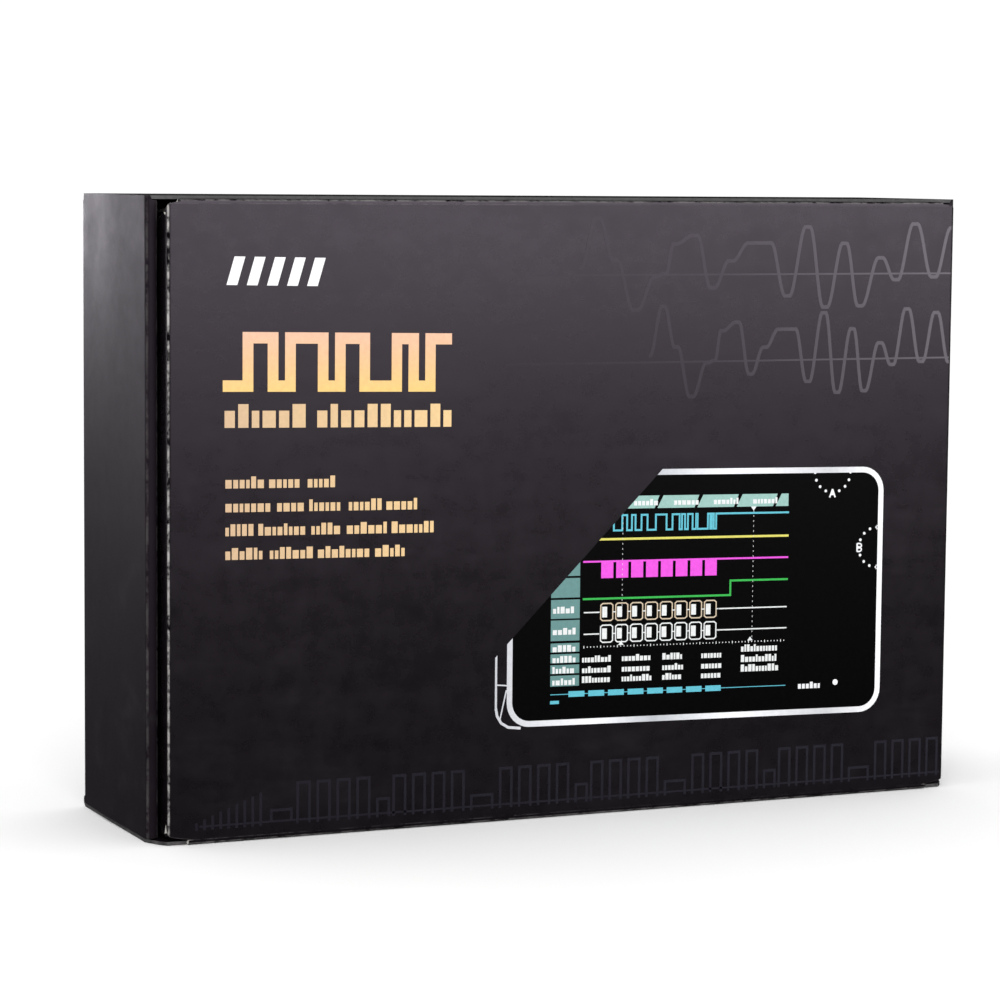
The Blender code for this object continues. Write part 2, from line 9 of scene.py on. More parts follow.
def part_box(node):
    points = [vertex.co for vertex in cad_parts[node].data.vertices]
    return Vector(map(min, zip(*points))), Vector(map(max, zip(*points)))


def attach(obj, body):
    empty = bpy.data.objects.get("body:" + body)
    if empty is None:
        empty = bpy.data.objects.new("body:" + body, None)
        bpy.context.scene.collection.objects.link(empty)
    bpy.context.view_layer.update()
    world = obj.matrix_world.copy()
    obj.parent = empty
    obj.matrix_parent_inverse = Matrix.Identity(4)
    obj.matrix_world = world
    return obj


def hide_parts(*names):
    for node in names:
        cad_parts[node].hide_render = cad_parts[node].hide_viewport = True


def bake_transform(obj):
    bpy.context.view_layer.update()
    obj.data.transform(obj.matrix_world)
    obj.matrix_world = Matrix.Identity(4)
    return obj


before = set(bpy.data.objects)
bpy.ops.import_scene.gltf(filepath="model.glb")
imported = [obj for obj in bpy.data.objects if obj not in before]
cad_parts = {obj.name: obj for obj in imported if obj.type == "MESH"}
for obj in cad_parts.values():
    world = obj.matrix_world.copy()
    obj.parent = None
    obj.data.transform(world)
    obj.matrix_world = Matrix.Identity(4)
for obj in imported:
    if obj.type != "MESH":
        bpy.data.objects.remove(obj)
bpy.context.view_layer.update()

MM = 0.001
noise.seed_set(7)  # noise_vector would otherwise take its offset from the clock

# ---- sizes read from the CAD ----
BACK_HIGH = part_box("back_panel")[1]
LID_LOW, LID_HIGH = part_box("lid_panel")
FLAP_LOW, FLAP_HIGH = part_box("left_dust_flap")
TUCK_LOW, TUCK_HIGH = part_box("tuck_flap")
OUTER_LOW, OUTER_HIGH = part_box("left_outer_wall")
ROLL_LOW, ROLL_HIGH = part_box("left_rolled_wall")
TOP_LOW, TOP_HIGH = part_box("tuck_wall")
FOOT_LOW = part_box("hinge_wall")[0]

BOARD = LID_HIGH.y - LID_LOW.y
HALF = BOARD / 2
X_OUT = BACK_HIGH.x
Y_FRONT = LID_LOW.y
Y_BACK = BACK_HIGH.y
Z_TOP = BACK_HIGH.z
Y_RIM = ROLL_LOW.y
LID_X = LID_HIGH.x
EAR_SPAN = TOP_HIGH.x


# ---- node materials ----
def new_material(name):
    """A new material, its node tree and its shader."""
    made = bpy.data.materials.new(name)
    made.use_nodes = True
    tree = made.node_tree
    return made, tree, tree.nodes["Principled BSDF"]


def node(tree, kind, **inputs):
    """Adds a node and sets its inputs by name, with _ for a space."""
    made = tree.nodes.new(kind)
    for key, value in inputs.items():
        made.inputs[key.replace("_", " ")].default_value = value
    return made


def object_coordinates(tree, stretch=(1, 1, 1)):
    """The place on the object, in metres, times stretch."""
    place = node(tree, "ShaderNodeTexCoord")
    mapping = node(tree, "ShaderNodeMapping", Scale=stretch)
    tree.links.new(place.outputs["Object"], mapping.inputs["Vector"])
    return mapping.outputs["Vector"]


def noise_at(tree, scale, detail=4.0, rough=0.55, stretch=(1, 1, 1)):
    made = node(tree, "ShaderNodeTexNoise", Scale=scale, Detail=detail, Roughness=rough)
    tree.links.new(object_coordinates(tree, stretch), made.inputs["Vector"])
    return made.outputs["Fac"]


def ramp(tree, source, stops):
    """A colour for each value of source, through stops of (position, colour)."""
    made = node(tree, "ShaderNodeValToRGB")
    elements = made.color_ramp.elements
    while len(elements) < len(stops):
        elements.new(0.5)
    for element, (position, colour) in zip(elements, stops):
        element.position = position
        element.color = (*colour, 1.0) if len(colour) == 3 else colour
    tree.links.new(source, made.inputs["Fac"])
    return made.outputs["Color"]


def grey_ramp(tree, source, low, high, start=0.0, end=1.0):
    return ramp(tree, source, [(start, (low,) * 3), (end, (high,) * 3)])


def mix(tree, factor, a, b, blend="MIX"):
    """Mixes two colours. The factor and both colours may each be a socket or a value."""
    made = tree.nodes.new("ShaderNodeMix")
    made.data_type = "RGBA"
    made.blend_type = blend
    for socket, value in ((made.inputs[0], factor), (made.inputs[6], a), (made.inputs[7], b)):
        if isinstance(value, bpy.types.NodeSocket):
            tree.links.new(value, socket)
        elif isinstance(value, (int, float)):
            socket.default_value = value
        else:
            socket.default_value = (*value, 1.0)
    return made.outputs[2]


def maths(tree, operation, a, b):
    made = node(tree, "ShaderNodeMath")
    made.operation = operation
    for socket, value in zip(made.inputs, (a, b)):
        if isinstance(value, bpy.types.NodeSocket):
            tree.links.new(value, socket)
        else:
            socket.default_value = value
    return made.outputs[0]


def bump(tree, shader, *layers):
    """Each layer is (height, strength, distance)."""
    previous = None
    for height, strength, distance in layers:
        made = node(tree, "ShaderNodeBump", Strength=strength, Distance=distance)
        tree.links.new(height, made.inputs["Height"])
        if previous:
            tree.links.new(previous, made.inputs["Normal"])
        previous = made.outputs["Normal"]
    tree.links.new(previous, shader.inputs["Normal"])


BOARD_GLOSS = 0.4
BOARD_TINT = (0.97, 0.83, 1.0, 1.0)
PRINT_BLACK = ((0.0030, 0.0021, 0.0030), (0.0054, 0.0040, 0.0056))  # the darkest and lightest of its mottle
SCUFF_LIGHT = 0.004  # what scuffs add to it
CORE_SHOWING = (0.62, 0.6, 0.58)  # the white board where the print is worn through
FOLD_WEAR = 0.3  # along a fold, where 1 is the worst
EDGE_WEAR = 0.12  # along a cut edge, as a share of the fold's


def board_material(name, wear, level_with_painted_light, gloss, roughness):
    """Black laminated print on white board: mottled, scuffed, and worn through by the mesh's "wear"."""
    made, tree, shader = new_material(name)
    mottle = noise_at(tree, 14.0, 5.0, 0.6)
    # This level scales the print's black and carries painted light: the tray's copy is painted lighter than
    # the lid's.
    dark, light = ([c * level_with_painted_light for c in colour] for colour in PRINT_BLACK)
    base = ramp(tree, mottle, [(0.3, dark), (0.7, light)])
    streaks = noise_at(tree, 60.0, 6.0, 0.65, stretch=(0.35, 1.0, 1.6))
    scuffs = grey_ramp(tree, streaks, 0.0, SCUFF_LIGHT * level_with_painted_light, 0.56, 0.78)
    base = mix(tree, 1.0, base, scuffs, "ADD")
    attribute = node(tree, "ShaderNodeAttribute")
    attribute.attribute_name = "wear"
    grain = grey_ramp(tree, noise_at(tree, 420.0, 6.0, 0.7), 0.0, 1.0, 0.4, 0.58)
    patches = grey_ramp(tree, noise_at(tree, 28.0, 4.0, 0.6), 0.45, 1.0, 0.35, 0.65)
    worn = maths(tree, "MULTIPLY", maths(tree, "MULTIPLY", attribute.outputs["Fac"], grain), patches)
    worn = maths(tree, "MULTIPLY", worn, wear)
    colour = mix(tree, worn, base, CORE_SHOWING)
    tree.links.new(colour, shader.inputs["Base Color"])
    streaked = grey_ramp(tree, streaks, *roughness, 0.3, 0.75)
    clouds = grey_ramp(tree, noise_at(tree, 190.0, 4.0, 0.65), 0.0, 0.07, 0.3, 0.7)
    fibres = maths(tree, "MULTIPLY", worn, 0.3)
    matte = maths(tree, "ADD", maths(tree, "ADD", streaked, clouds), fibres)
    tree.links.new(matte, shader.inputs["Roughness"])
    shader.inputs["Specular IOR Level"].default_value = gloss
    shader.inputs["Specular Tint"].default_value = BOARD_TINT
    waves = noise_at(tree, 9.0, 2.0, 0.5)
    dents = noise_at(tree, 230.0, 5.0, 0.6)
    film = noise_at(tree, 1900.0, 2.0, 0.5)
    bump(tree, shader, (waves, 0.35, 0.6 * MM), (dents, 0.3, 0.05 * MM), (film, 0.1, 0.02 * MM))
    return made


def simple_material(name, colours, roughness, scale, metallic=0.0, strength=0.1, stretch=(1, 1, 1), **extra):
    """A noise-mottled surface: two colours, a roughness range and a fine bump at the same grain."""
    made, tree, shader = new_material(name)
    grain = noise_at(tree, scale, 5.0, 0.6, stretch)
    tree.links.new(ramp(tree, grain, [(0.3, colours[0]), (0.7, colours[1])]), shader.inputs["Base Color"])
    tree.links.new(grey_ramp(tree, grain, *roughness, 0.3, 0.7), shader.inputs["Roughness"])
    shader.inputs["Metallic"].default_value = metallic
    for key, value in extra.items():
        shader.inputs[key.replace("_", " ")].default_value = value
    bump(tree, shader, (grain, strength, 0.05 * MM))
    return made


def foam_material():
    """Closed-cell foam: dark, with small round cells and faint patches."""
    made, tree, shader = new_material("charcoal_foam")
    cells = node(tree, "ShaderNodeTexVoronoi", Scale=1500.0, Randomness=1.0)
    tree.links.new(object_coordinates(tree), cells.inputs["Vector"])
    size = cells.outputs["Distance"]
    colour = ramp(tree, size, [(0.1, (0.016, 0.016, 0.018)), (0.6, (0.055, 0.055, 0.06))])
    patches = ramp(tree, noise_at(tree, 40.0), [(0.3, (0.8, 0.8, 0.8)), (0.7, (1.15, 1.15, 1.15))])
    tree.links.new(mix(tree, 1.0, colour, patches, "MULTIPLY"), shader.inputs["Base Color"])
    tree.links.new(grey_ramp(tree, size, 0.8, 0.97), shader.inputs["Roughness"])
    shader.inputs["Specular IOR Level"].default_value = 0.25
    bump(tree, shader, (size, 0.7, 0.25 * MM), (noise_at(tree, 90.0), 0.2, 0.3 * MM))
    return made


def gradient_ink(name, axis, low, high, stops, roughness=0.4, under_laminate=False):
    """An ink whose colour runs along one axis of the object, between two positions in metres."""
    made, tree, shader = new_material(name)
    place = node(tree, "ShaderNodeTexCoord")
    split = node(tree, "ShaderNodeSeparateXYZ")
    tree.links.new(place.outputs["Object"], split.inputs["Vector"])
    along = node(tree, "ShaderNodeMapRange", From_Min=low, From_Max=high)
    tree.links.new(split.outputs[axis], along.inputs["Value"])
    speck = ramp(tree, noise_at(tree, 900.0), [(0.3, (0.9, 0.9, 0.9)), (0.7, (1.0, 1.0, 1.0))])
    colour = mix(tree, 1.0, ramp(tree, along.outputs["Result"], stops), speck, "MULTIPLY")
    tree.links.new(colour, shader.inputs["Base Color"])
    matte = grey_ramp(tree, noise_at(tree, 700.0), roughness - 0.05, roughness + 0.08)
    tree.links.new(matte, shader.inputs["Roughness"])
    shader.inputs["Specular IOR Level"].default_value = BOARD_GLOSS if under_laminate else 0.3
    if under_laminate:
        shader.inputs["Specular Tint"].default_value = BOARD_TINT
    return made


def ink(name, colour, roughness=0.4, gloss=0.3):
    """A printed colour with a faint fine mottle."""
    dark = tuple(c * 0.86 for c in colour)
    return simple_material(
        name, (dark, colour), (roughness, roughness + 0.08), 1100.0, strength=0.04, Specular_IOR_Level=gloss
    )


# ---- meshes ----
def to_object(name, bm, materials, body, smooth=0):
    """Makes an object of a bmesh, riding on body if there is one, and smooth up to an angle in degrees."""
    bmesh.ops.recalc_face_normals(bm, faces=bm.faces)
    mesh = bpy.data.meshes.new(name)
    bm.to_mesh(mesh)
    bm.free()
    obj = bpy.data.objects.new(name, mesh)
    bpy.context.scene.collection.objects.link(obj)
    for entry in materials:
        mesh.materials.append(entry)
    if smooth:
        mesh.shade_smooth()
        mesh.set_sharp_from_angle(angle=math.radians(smooth))
    if body:
        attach(obj, body)
    return obj


ARC_STEPS = 5


def bend(path, corner, radius):
    """Adds an arc to a polyline in place of its next corner. corner holds that point and the one after it."""
    before, (at, after) = Vector(path[-1]), map(Vector, corner)
    a, b = (before - at).normalized(), (after - at).normalized()
    half = a.angle(b) / 2
    reach = radius / math.tan(half)
    start, end = at + a * reach, at + b * reach
    centre = at + (a + b).normalized() * (radius / math.sin(half))
    first, last = (start - centre).normalized(), (end - centre).normalized()
    for i in range(ARC_STEPS + 1):
        path.append(tuple(centre + first.slerp(last, i / ARC_STEPS) * radius))


def graded(length, spacing):
    """Fractions along a run: fine next to both ends, so that wear stays narrow, and even between them."""
    if length < 5 * MM:
        count = max(1, math.ceil(length / (0.7 * MM)))
        return [k / count for k in range(1, count + 1)]
    near = [d * MM / length for d in (0.25, 0.6, 1.5)]
    count = max(1, math.ceil((length - 3 * MM) / spacing))
    middle = [near[-1] + (1 - 2 * near[-1]) * k / count for k in range(1, count)]
    return near + middle + [1 - n for n in reversed(near)] + [1.0]


def folded_path(points, radii, spacing=4 * MM):
    """A polyline with every inner corner rounded and its long runs divided."""
    path = [tuple(points[0])]
    for i in range(1, len(points) - 1):
        bend(path, (points[i], points[i + 1]), radii[i - 1])
    path.append(tuple(points[-1]))
    fine = [path[0]]
    for a, b in zip(path, path[1:]):
        length = (Vector(b) - Vector(a)).length
        if length < 1e-7:
            continue
        steps = graded(length, spacing) if length > 0.6 * MM else [1.0]
        fine += [tuple(Vector(a).lerp(Vector(b), step)) for step in steps]
    return fine


def ribbon(name, path, ends, plane, body, materials, rows, thick=BOARD, warp=None, wear=FOLD_WEAR):
    """A folded sheet of board: a path in one plane, swept along the third axis between ends(point).

    plane is "XY" for a sweep along Z, or "YZ" for a sweep along X, and a point is given to ends in that
    plane. The first material is on the faces and the second on the cut edges. warp moves the finished
    points, and wear is a number or a function of such a point.
    """
    half = thick / 2
    points = [Vector(p) for p in path]
    bm = bmesh.new()
    wear_layer = bm.verts.layers.float.new("wear")
    sheets = ([], [])
    reach = max(ends(p)[1] - ends(p)[0] for p in points)
    fractions = [0.0] + graded(reach, reach / rows)
    rows = len(fractions) - 1
    for i, p in enumerate(points):
        before = (p - points[i - 1]).normalized() if i else (points[1] - p).normalized()
        after = (points[i + 1] - p).normalized() if i < len(points) - 1 else before
        tangent = (before + after).normalized()
        turn = before.angle(after) if before.length and after.length else 0.0
        normal = Vector((-tangent.y, tangent.x)) / max(0.5, math.cos(turn / 2))
        # 2 * x * y is 1 halfway round a right-angled fold, and its high power keeps wear to the very ridge.
        ridge = min(1.0, 2 * (2 * tangent.x * tangent.y) ** 16) if turn else 0.0
        low, high = ends(p)
        for sheet, side in zip(sheets, (1, -1)):
            q = p + normal * half * side
            row = []
            for j, fraction in enumerate(fractions):
                w = low + (high - low) * fraction
                place = Vector((q.x, q.y, w)) if plane == "XY" else Vector((w, q.x, q.y))
                if warp:
                    place = warp(place)
                vert = bm.verts.new(place)
                edge = EDGE_WEAR if j in (0, rows) else 0.0
                here = wear(place) if callable(wear) else wear
                vert[wear_layer] = here * min(1.0, ridge + edge)
                row.append(vert)
            sheet.append(row)
    n = len(points) - 1

    def quad(a, b, c, d, index):
        bm.faces.new((a, b, c, d)).material_index = index

    for i in range(n):
        for j in range(rows):
            for sheet in sheets:
                quad(sheet[i][j], sheet[i + 1][j], sheet[i + 1][j + 1], sheet[i][j + 1], 0)
        for j in (0, rows):
            quad(sheets[0][i][j], sheets[0][i + 1][j], sheets[1][i + 1][j], sheets[1][i][j], 1)
    for i in (0, n):
        for j in range(rows):
            quad(sheets[0][i][j], sheets[0][i][j + 1], sheets[1][i][j + 1], sheets[1][i][j], 1)
    return to_object(name, bm, materials, body, smooth=50.0)


# ---- carton ----
WALL_BULGE = 0.5 * MM  # how far the middle of a side wall stands out past its creases
WALL_WAVE = 0.25 * MM  # the most that its uneven surface adds or takes away
WAVE_SCALE = 26
WAVE_STRETCH = (2.2, 0.5)  # the waves are short across the wall and long up it
BACK_FOLD = 1.4 * MM
RIM_FOLD = 0.6 * MM
INNER_FOLD = 0.55 * MM
WALL_CREASE = 1.2 * MM  # the creases of the top wall and the foot
LID_CREASE = 0.42 * MM
LID_FOOT = 0.75 * MM  # the lid board starts this far above the CAD lid's foot, on the hinge crease
LID_CORNER = (5 * MM, 1.1 * MM)  # width and height of the slanted cut at each foot corner
SHOULDER = 1.6 * MM  # the lid's side folds end this far behind its face, and the dust flaps begin
SHOULDER_SLOPE = 2.5  # how steeply the ends of those folds draw in
DUST_TAPER = 12 * MM
FOLD_RISE = 1.0 * MM  # the lid's top fold bulges this far above the flap, before the flap dips under the tray
FOLD_WAVE = 0.12 * MM  # the unevenness of that fold
FLAP_SLANT = math.radians(6)
FLAP_CORNER = 9 * MM
CREASE_THICK = BOARD * 0.94  # a crease lies just inside the two boards that it joins

# The tray and the lid are one black print. The tray's copy is painted 2.4 times as light and the lid's 0.7
# times, so the tray's walls and back carry painted light.
BODY_BOARD_PAINTED_LIGHT = board_material("black_print_body_painted_light", 0.3, 2.4, 0.12, (0.34, 0.42))
LID_BOARD = board_material("black_print_lid", 1.0, 0.7, BOARD_GLOSS, (0.22, 0.29))
CORE = simple_material("board_core", ((0.42, 0.4, 0.37), (0.72, 0.7, 0.66)), (0.8, 0.95), 900.0, strength=0.5)
DARK_CORE = simple_material("inked_edge", ((0.02, 0.018, 0.02), (0.09, 0.085, 0.085)), (0.5, 0.7), 700.0)


def side_wall_shape(p):
    """Moves a point of a side wall outward: the wall bulges between its creases, and it is uneven."""
    if abs(p.x) <= X_OUT - 2 * BOARD:
        return p
    wave = noise.noise(Vector((p.y * WAVE_STRETCH[0], p.z * WAVE_STRETCH[1], 3)) * WAVE_SCALE) * WALL_WAVE
    inside = min(1.0, max(0.0, (Y_BACK - abs(p.y)) / (6 * MM)))
    middle, half = (Y_BACK + Y_RIM) / 2, (Y_BACK - Y_RIM) / 2
    bulge = WALL_BULGE * max(0.0, 1 - ((p.y - middle) / half) ** 2)
    return p + Vector((math.copysign(wave * inside + bulge, p.x), 0, 0))


def carton():
    """The tray: one wrapped sheet for the back and side walls, and the hinge and tuck walls."""
    inner_x = ROLL_HIGH.x - HALF
    outer_x = -X_OUT + HALF
    back_y = Y_BACK - HALF
    rim_y = Y_RIM + HALF
    left = [(inner_x, ROLL_HIGH.y), (inner_x, rim_y), (outer_x, rim_y), (outer_x, back_y)]
    right = [(-x, y) for x, y in reversed(left)]
    folds = [INNER_FOLD, RIM_FOLD, BACK_FOLD]
    path = folded_path(left + right, folds + folds[::-1])

    def ends(p):
        """The back lies between the top wall and the foot, and the inner layers are lower than the outer."""
        if p.y > Y_BACK - 2.2 * MM:
            return BOARD * 2, Z_TOP - BOARD * 2
        if abs(p.x) < X_OUT - BOARD * 1.4:
            return ROLL_LOW.z, ROLL_HIGH.z
        return OUTER_LOW.z, OUTER_HIGH.z

    board = (BODY_BOARD_PAINTED_LIGHT, DARK_CORE)
    wrap = ribbon("carton_wrap", path, ends, "XY", "carton", board, rows=34, warp=side_wall_shape)
    outer, rolled = ("left_outer_wall", "right_outer_wall"), ("left_rolled_wall", "right_rolled_wall")
    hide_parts("back_panel", *outer, *rolled)

    top = folded_path(
        [(TOP_LOW.y, Z_TOP - HALF), (back_y, Z_TOP - HALF), (back_y, Z_TOP - BOARD * 2)], [WALL_CREASE]
    )
    tuck = ribbon("tuck_wall_board", top, lambda p: (-EAR_SPAN, EAR_SPAN), "YZ", "carton", board, rows=48)
    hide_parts("tuck_wall")

    foot = folded_path(
        [(FOOT_LOW.y + 0.3 * MM, HALF), (back_y, HALF), (back_y, BOARD * 2)], [WALL_CREASE]
    )

    def foot_ends(p):
        """The foot widens from the lid's width to the tray's, between its crease and the rim."""
        share = min(1.0, max(0.0, (p.x - FOOT_LOW.y) / (Y_RIM - FOOT_LOW.y)))
        half_wide = LID_X - 0.6 * MM + (X_OUT - LID_X + 0.5 * MM) * share
        return -half_wide, half_wide

    hinge = ribbon("hinge_wall_board", foot, foot_ends, "YZ", "carton", board, rows=48)
    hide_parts("hinge_wall")


def lid():
    """The lid with its dust flaps, the tuck flap, and the two creases that join them to what they turn on."""
    front = Y_FRONT + HALF
    flap_x = LID_X - HALF
    left = [(-flap_x, FLAP_HIGH.y), (-flap_x, front)]
    right = [(-x, y) for x, y in reversed(left)]
    path = folded_path(left + right, [LID_CREASE, LID_CREASE])
    low, high = LID_LOW.z + LID_FOOT, LID_HIGH.z + FOLD_RISE
    cut_wide, cut_high = LID_CORNER

    def ends(p):
        if p.y < Y_FRONT + SHOULDER:
            corner = max(0.0, 1.0 - (LID_X - abs(p.x)) / cut_wide) * cut_high
            start = max(0.0, p.y - front) * SHOULDER_SLOPE
            return low + corner + start, high - start
        share = min(1.0, (p.y - Y_FRONT - SHOULDER) / (FLAP_HIGH.y - Y_FRONT - SHOULDER))
        taper = DUST_TAPER * share
        return FLAP_LOW.z + taper, FLAP_HIGH.z - taper

    def crease_wear(p):
        """The left crease is worn most, and more so towards the top."""
        if p.x > 0:
            return 0.25
        return 0.75 + 0.25 * min(1.0, p.z / LID_HIGH.z)

    board = (LID_BOARD, CORE)
    panel = ribbon("lid_board", path, ends, "XY", "lid", board, rows=44, wear=crease_wear)
    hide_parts("lid_panel", "left_dust_flap", "right_dust_flap")

    bottom = [(FOOT_LOW.y + 0.35 * MM, HALF), (front, HALF), (front, low + 0.05 * MM)]
    half_hinge = LID_X - 4.6 * MM
    hinge = ribbon(
        "hinge_crease",
        folded_path(bottom, [0.5 * MM]),
        lambda p: (-half_hinge, half_hinge),
        "YZ",
        None,
        board,
        rows=60,
        thick=CREASE_THICK,
    )
    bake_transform(hinge)

    flap_line = TUCK_HIGH.z - HALF
    crown = flap_line + FOLD_RISE
    fold_end = (Y_FRONT + 2.2 * MM, crown - 0.16 * MM)
    half_fold, half_flap = LID_X - 1.4 * MM, abs(TUCK_LOW.x)

    def fold_ends(p):
        """The fold has the lid's width up to just below its crown, and the flap's from there."""
        half_wide = half_fold if p.y < crown - 0.4 * MM else half_flap
        return -half_wide, half_wide

    fold = ribbon(
        "tuck_crease",
        folded_path([(front, high - 0.05 * MM), (front, crown), fold_end], [LID_CREASE]),
        fold_ends,
        "YZ",
        None,
        (LID_BOARD, DARK_CORE),
        rows=60,
        thick=CREASE_THICK,
        warp=lambda p: p + Vector((0, 0, FOLD_WAVE * noise.noise(Vector((p.x * 35, 0, 2))))),
    )
    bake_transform(fold)

    slope = math.tan(FLAP_SLANT)
    tip = TUCK_HIGH.y
    dip_y = Y_RIM - 1.2 * MM
    flap_path = folded_path(
        [
            (Y_FRONT + 2.1 * MM, crown - 0.16 * MM),
            (dip_y, flap_line - (dip_y - Y_FRONT) * slope),
            (tip, flap_line - (tip - Y_FRONT) * slope),
        ],
        [3 * MM],
        1.2 * MM,
    )

    def flap_ends(p):
        """Rounds the two corners at the flap's tip."""
        into = max(0.0, p.x - (tip - FLAP_CORNER))
        inset = FLAP_CORNER - math.sqrt(max(0.0, FLAP_CORNER**2 - into**2))
        return -(half_flap - inset), half_flap - inset

    flap = ribbon("tuck_flap_board", flap_path, flap_ends, "YZ", "folding_tuck_flap", board, rows=48)
    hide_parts("tuck_flap")


# ---- printing on the lid ----
# Places and sizes here are in millimetres, across from the lid's middle and up from its foot.
INK = 0.02 * MM  # how thick a printed layer is
LAYER_STEP = 0.0006 * MM  # shapes of one ink that cross lie this far apart, so that none shades another
PRINT_TILT = -0.018  # the print runs about a degree out of square
TILT_FROM = -80  # where across the lid that tilt moves nothing


class Print:
    """Flat printed shapes of one ink on a face that looks along -Y, the lid's if no other is given.

    height is how many layers of ink it stands out, so that one print covers another.
    """

    def __init__(self, name, ink_material, height=1, tilt=PRINT_TILT, clip=None, face=Y_FRONT):
        self.name = name
        self.face = face
        self.material = ink_material
        self.height = height
        self.tilt = tilt
        self.clip = clip
        self.layer = 0
        self.bm = bmesh.new()

    def shape(self, outline):
        """A convex outline in millimetres, across and up the face."""
        points = [(x, z + self.tilt * (x - TILT_FROM)) for x, z in outline]
        if self.clip:
            points = self.clip(points)
        if len(points) < 3:
            return
        top = self.face - INK * self.height - LAYER_STEP * (self.layer % 16)
        rings = [
            [self.bm.verts.new((x * MM, y, z * MM)) for x, z in points] for y in (self.face + INK / 2, top)
        ]
        self.bm.faces.new(rings[0])
        self.bm.faces.new(rings[1])
        for i in range(len(points)):
            j = (i + 1) % len(points)
            self.bm.faces.new((rings[0][i], rings[0][j], rings[1][j], rings[1][i]))

    def bar(self, x0, z0, x1, z1):
        self.layer += 1
        self.shape([(x0, z0), (x1, z0), (x1, z1), (x0, z1)])

    def stroke(self, points, width, closed=False):
        """A line of straight runs with mitred corners."""
        self.layer += 1
        vectors = [Vector(p) for p in points]
        count = len(vectors)
        sides = []
        for i, p in enumerate(vectors):
            before = vectors[i - 1] if i or closed else None
            after = vectors[(i + 1) % count] if i < count - 1 or closed else None
            a = (p - before).normalized() if before is not None else (after - p).normalized()
            b = (after - p).normalized() if after is not None else a
            along = (a + b).normalized() if (a + b).length > 1e-6 else a
            normal = Vector((-along.y, along.x)) * (width / 2 / max(0.5, along.dot(a)))
            sides.append((p + normal, p - normal))
        for i in range(count if closed else count - 1):
            a, b = sides[i], sides[(i + 1) % count]
            self.shape([tuple(a[0]), tuple(a[1]), tuple(b[1]), tuple(b[0])])

    def done(self, body="lid", slot="printed_board"):
        to_object(self.name, self.bm, (self.material,), body)


def greek(out, x0, x1, z, height, pitch, seed):
    """A row of plain solid blocks that stands for a line of lettering."""
    chooser = random.Random(seed)
    x = x0
    while x < x1 - 0.4 * pitch:
        wide = min(pitch * chooser.choice((0.45, 0.62, 0.62, 0.8)), x1 - x)
        tall = height * chooser.choice((0.72, 0.72, 0.72, 1.0))
        out.bar(x, z, x + wide, z + tall)
        x += wide + pitch * 0.2


def arc_points(cx, cz, radius, start, end, steps):
    """Points along an arc, with its two angles in degrees."""
    return [
        (
            cx + radius * math.cos(math.radians(start + (end - start) * i / steps)),
            cz + radius * math.sin(math.radians(start + (end - start) * i / steps)),
        )
        for i in range(steps + 1)
    ]


WHITE_INK = ink("white_ink", (0.9, 0.9, 0.9))
GOLD_TITLE = gradient_ink(
    "gold_foil",
    "Z",
    0.095,
    0.109,
    [(0.0, (0.86, 0.56, 0.17)), (0.45, (0.82, 0.5, 0.24)), (1.0, (0.8, 0.47, 0.33))],
)
GOLD_LINES = gradient_ink(
    "gold_ink", "X", -0.083, -0.03, [(0.0, (0.62, 0.42, 0.25)), (1.0, (0.8, 0.55, 0.26))]
)
TRACE_INK = gradient_ink(
    "grey_trace_ink",
    "X",
    -0.005,
    0.095,
    [(0.0, (0.006, 0.005, 0.006)), (0.4, (0.02, 0.017, 0.022)), (1.0, (0.095, 0.087, 0.098))],
    roughness=0.29,
    under_laminate=True,
)
PULSE_INK = gradient_ink(
    "dark_pulse_ink",
    "X",
    -0.09,
    0.095,
    [(0.0, (0.009, 0.009, 0.014)), (1.0, (0.014, 0.014, 0.021))],
    roughness=0.29,
    under_laminate=True,
)


def lid_lettering():
    """A generic mark of slanted bars, a gold pulse train for a title, and rows of gold blocks for text."""
    mark = Print("print_mark", WHITE_INK)
    for i in range(5):
        x, foot, head = -82.0 + i * 4.5, 118.4, 124.4
        mark.layer += 1
        mark.shape([(x, foot), (x + 2.4, foot), (x + 4.2, head), (x + 1.8, head)])
    mark.done()

    title = Print("print_title", GOLD_TITLE)
    low, high, weight = 97.2, 107.4, 2.4
    train = [(-82.8, low)]
    level = low
    for step in (5.6, 5.6, 3.9, 7.4, 3.9, 5.6, 7.4, 3.9, 3.9):
        x = train[-1][0] + step
        train.append((x, level))
        level = high if level == low else low
        train.append((x, level))
    train.append((-30.6, level))
    title.stroke(train, weight)
    title.done()

    lines = Print("print_lines", GOLD_LINES)
    greek(lines, -82.4, -64.2, 88.4, 5.0, 3.7, 3)
    greek(lines, -61.6, -30.6, 88.4, 5.0, 3.7, 5)
    ends = ((-56.0, 1), (-38.3, 2), (-34.6, 3), (-41.0, 4))
    for row, (end, seed) in enumerate(ends):
        z = 75.6 - row * 5.05
        x = -82.2
        chooser = random.Random(40 + seed)
        while x < end - 1.0:
            stop = min(end, x + chooser.uniform(6.0, 13.0))
            greek(lines, x, stop, z, 2.5, 1.75, seed * 10 + int(x + 90))
            x = stop + 1.1
    lines.done()


# The burst in both traces: where each peak, trough or shoulder lies along the lid, and its height, in mm.
BEATS = (
    *((-0.5, 1.5), (4.0, 12.4), (8.2, 3.3), (13.4, -7.8), (18.6, -0.3), (20.7, 0.2)),
    *((22.8, 6.8), (28.0, 8.7), (32.5, -3.0), (37.0, 3.0), (41.9, 7.0), (46.6, 7.0)),
    *((51.5, -4.9), (56.5, 10.6), (61.3, -7.5), (66.1, 6.9), (70.3, -7.3), (75.6, 3.6)),
    *((79.7, -1.4), (84.5, 11.3), (89.7, -0.8), (94.5, 10.4), (99.6, -1.0)),
)
# Each trace: the height of its centre line, where the line starts, and how the burst is shifted and squeezed.
TRACES = ((120.1, -12.0, 0.0, 1.0), (100.7, -18.0, 17.2, 0.776))

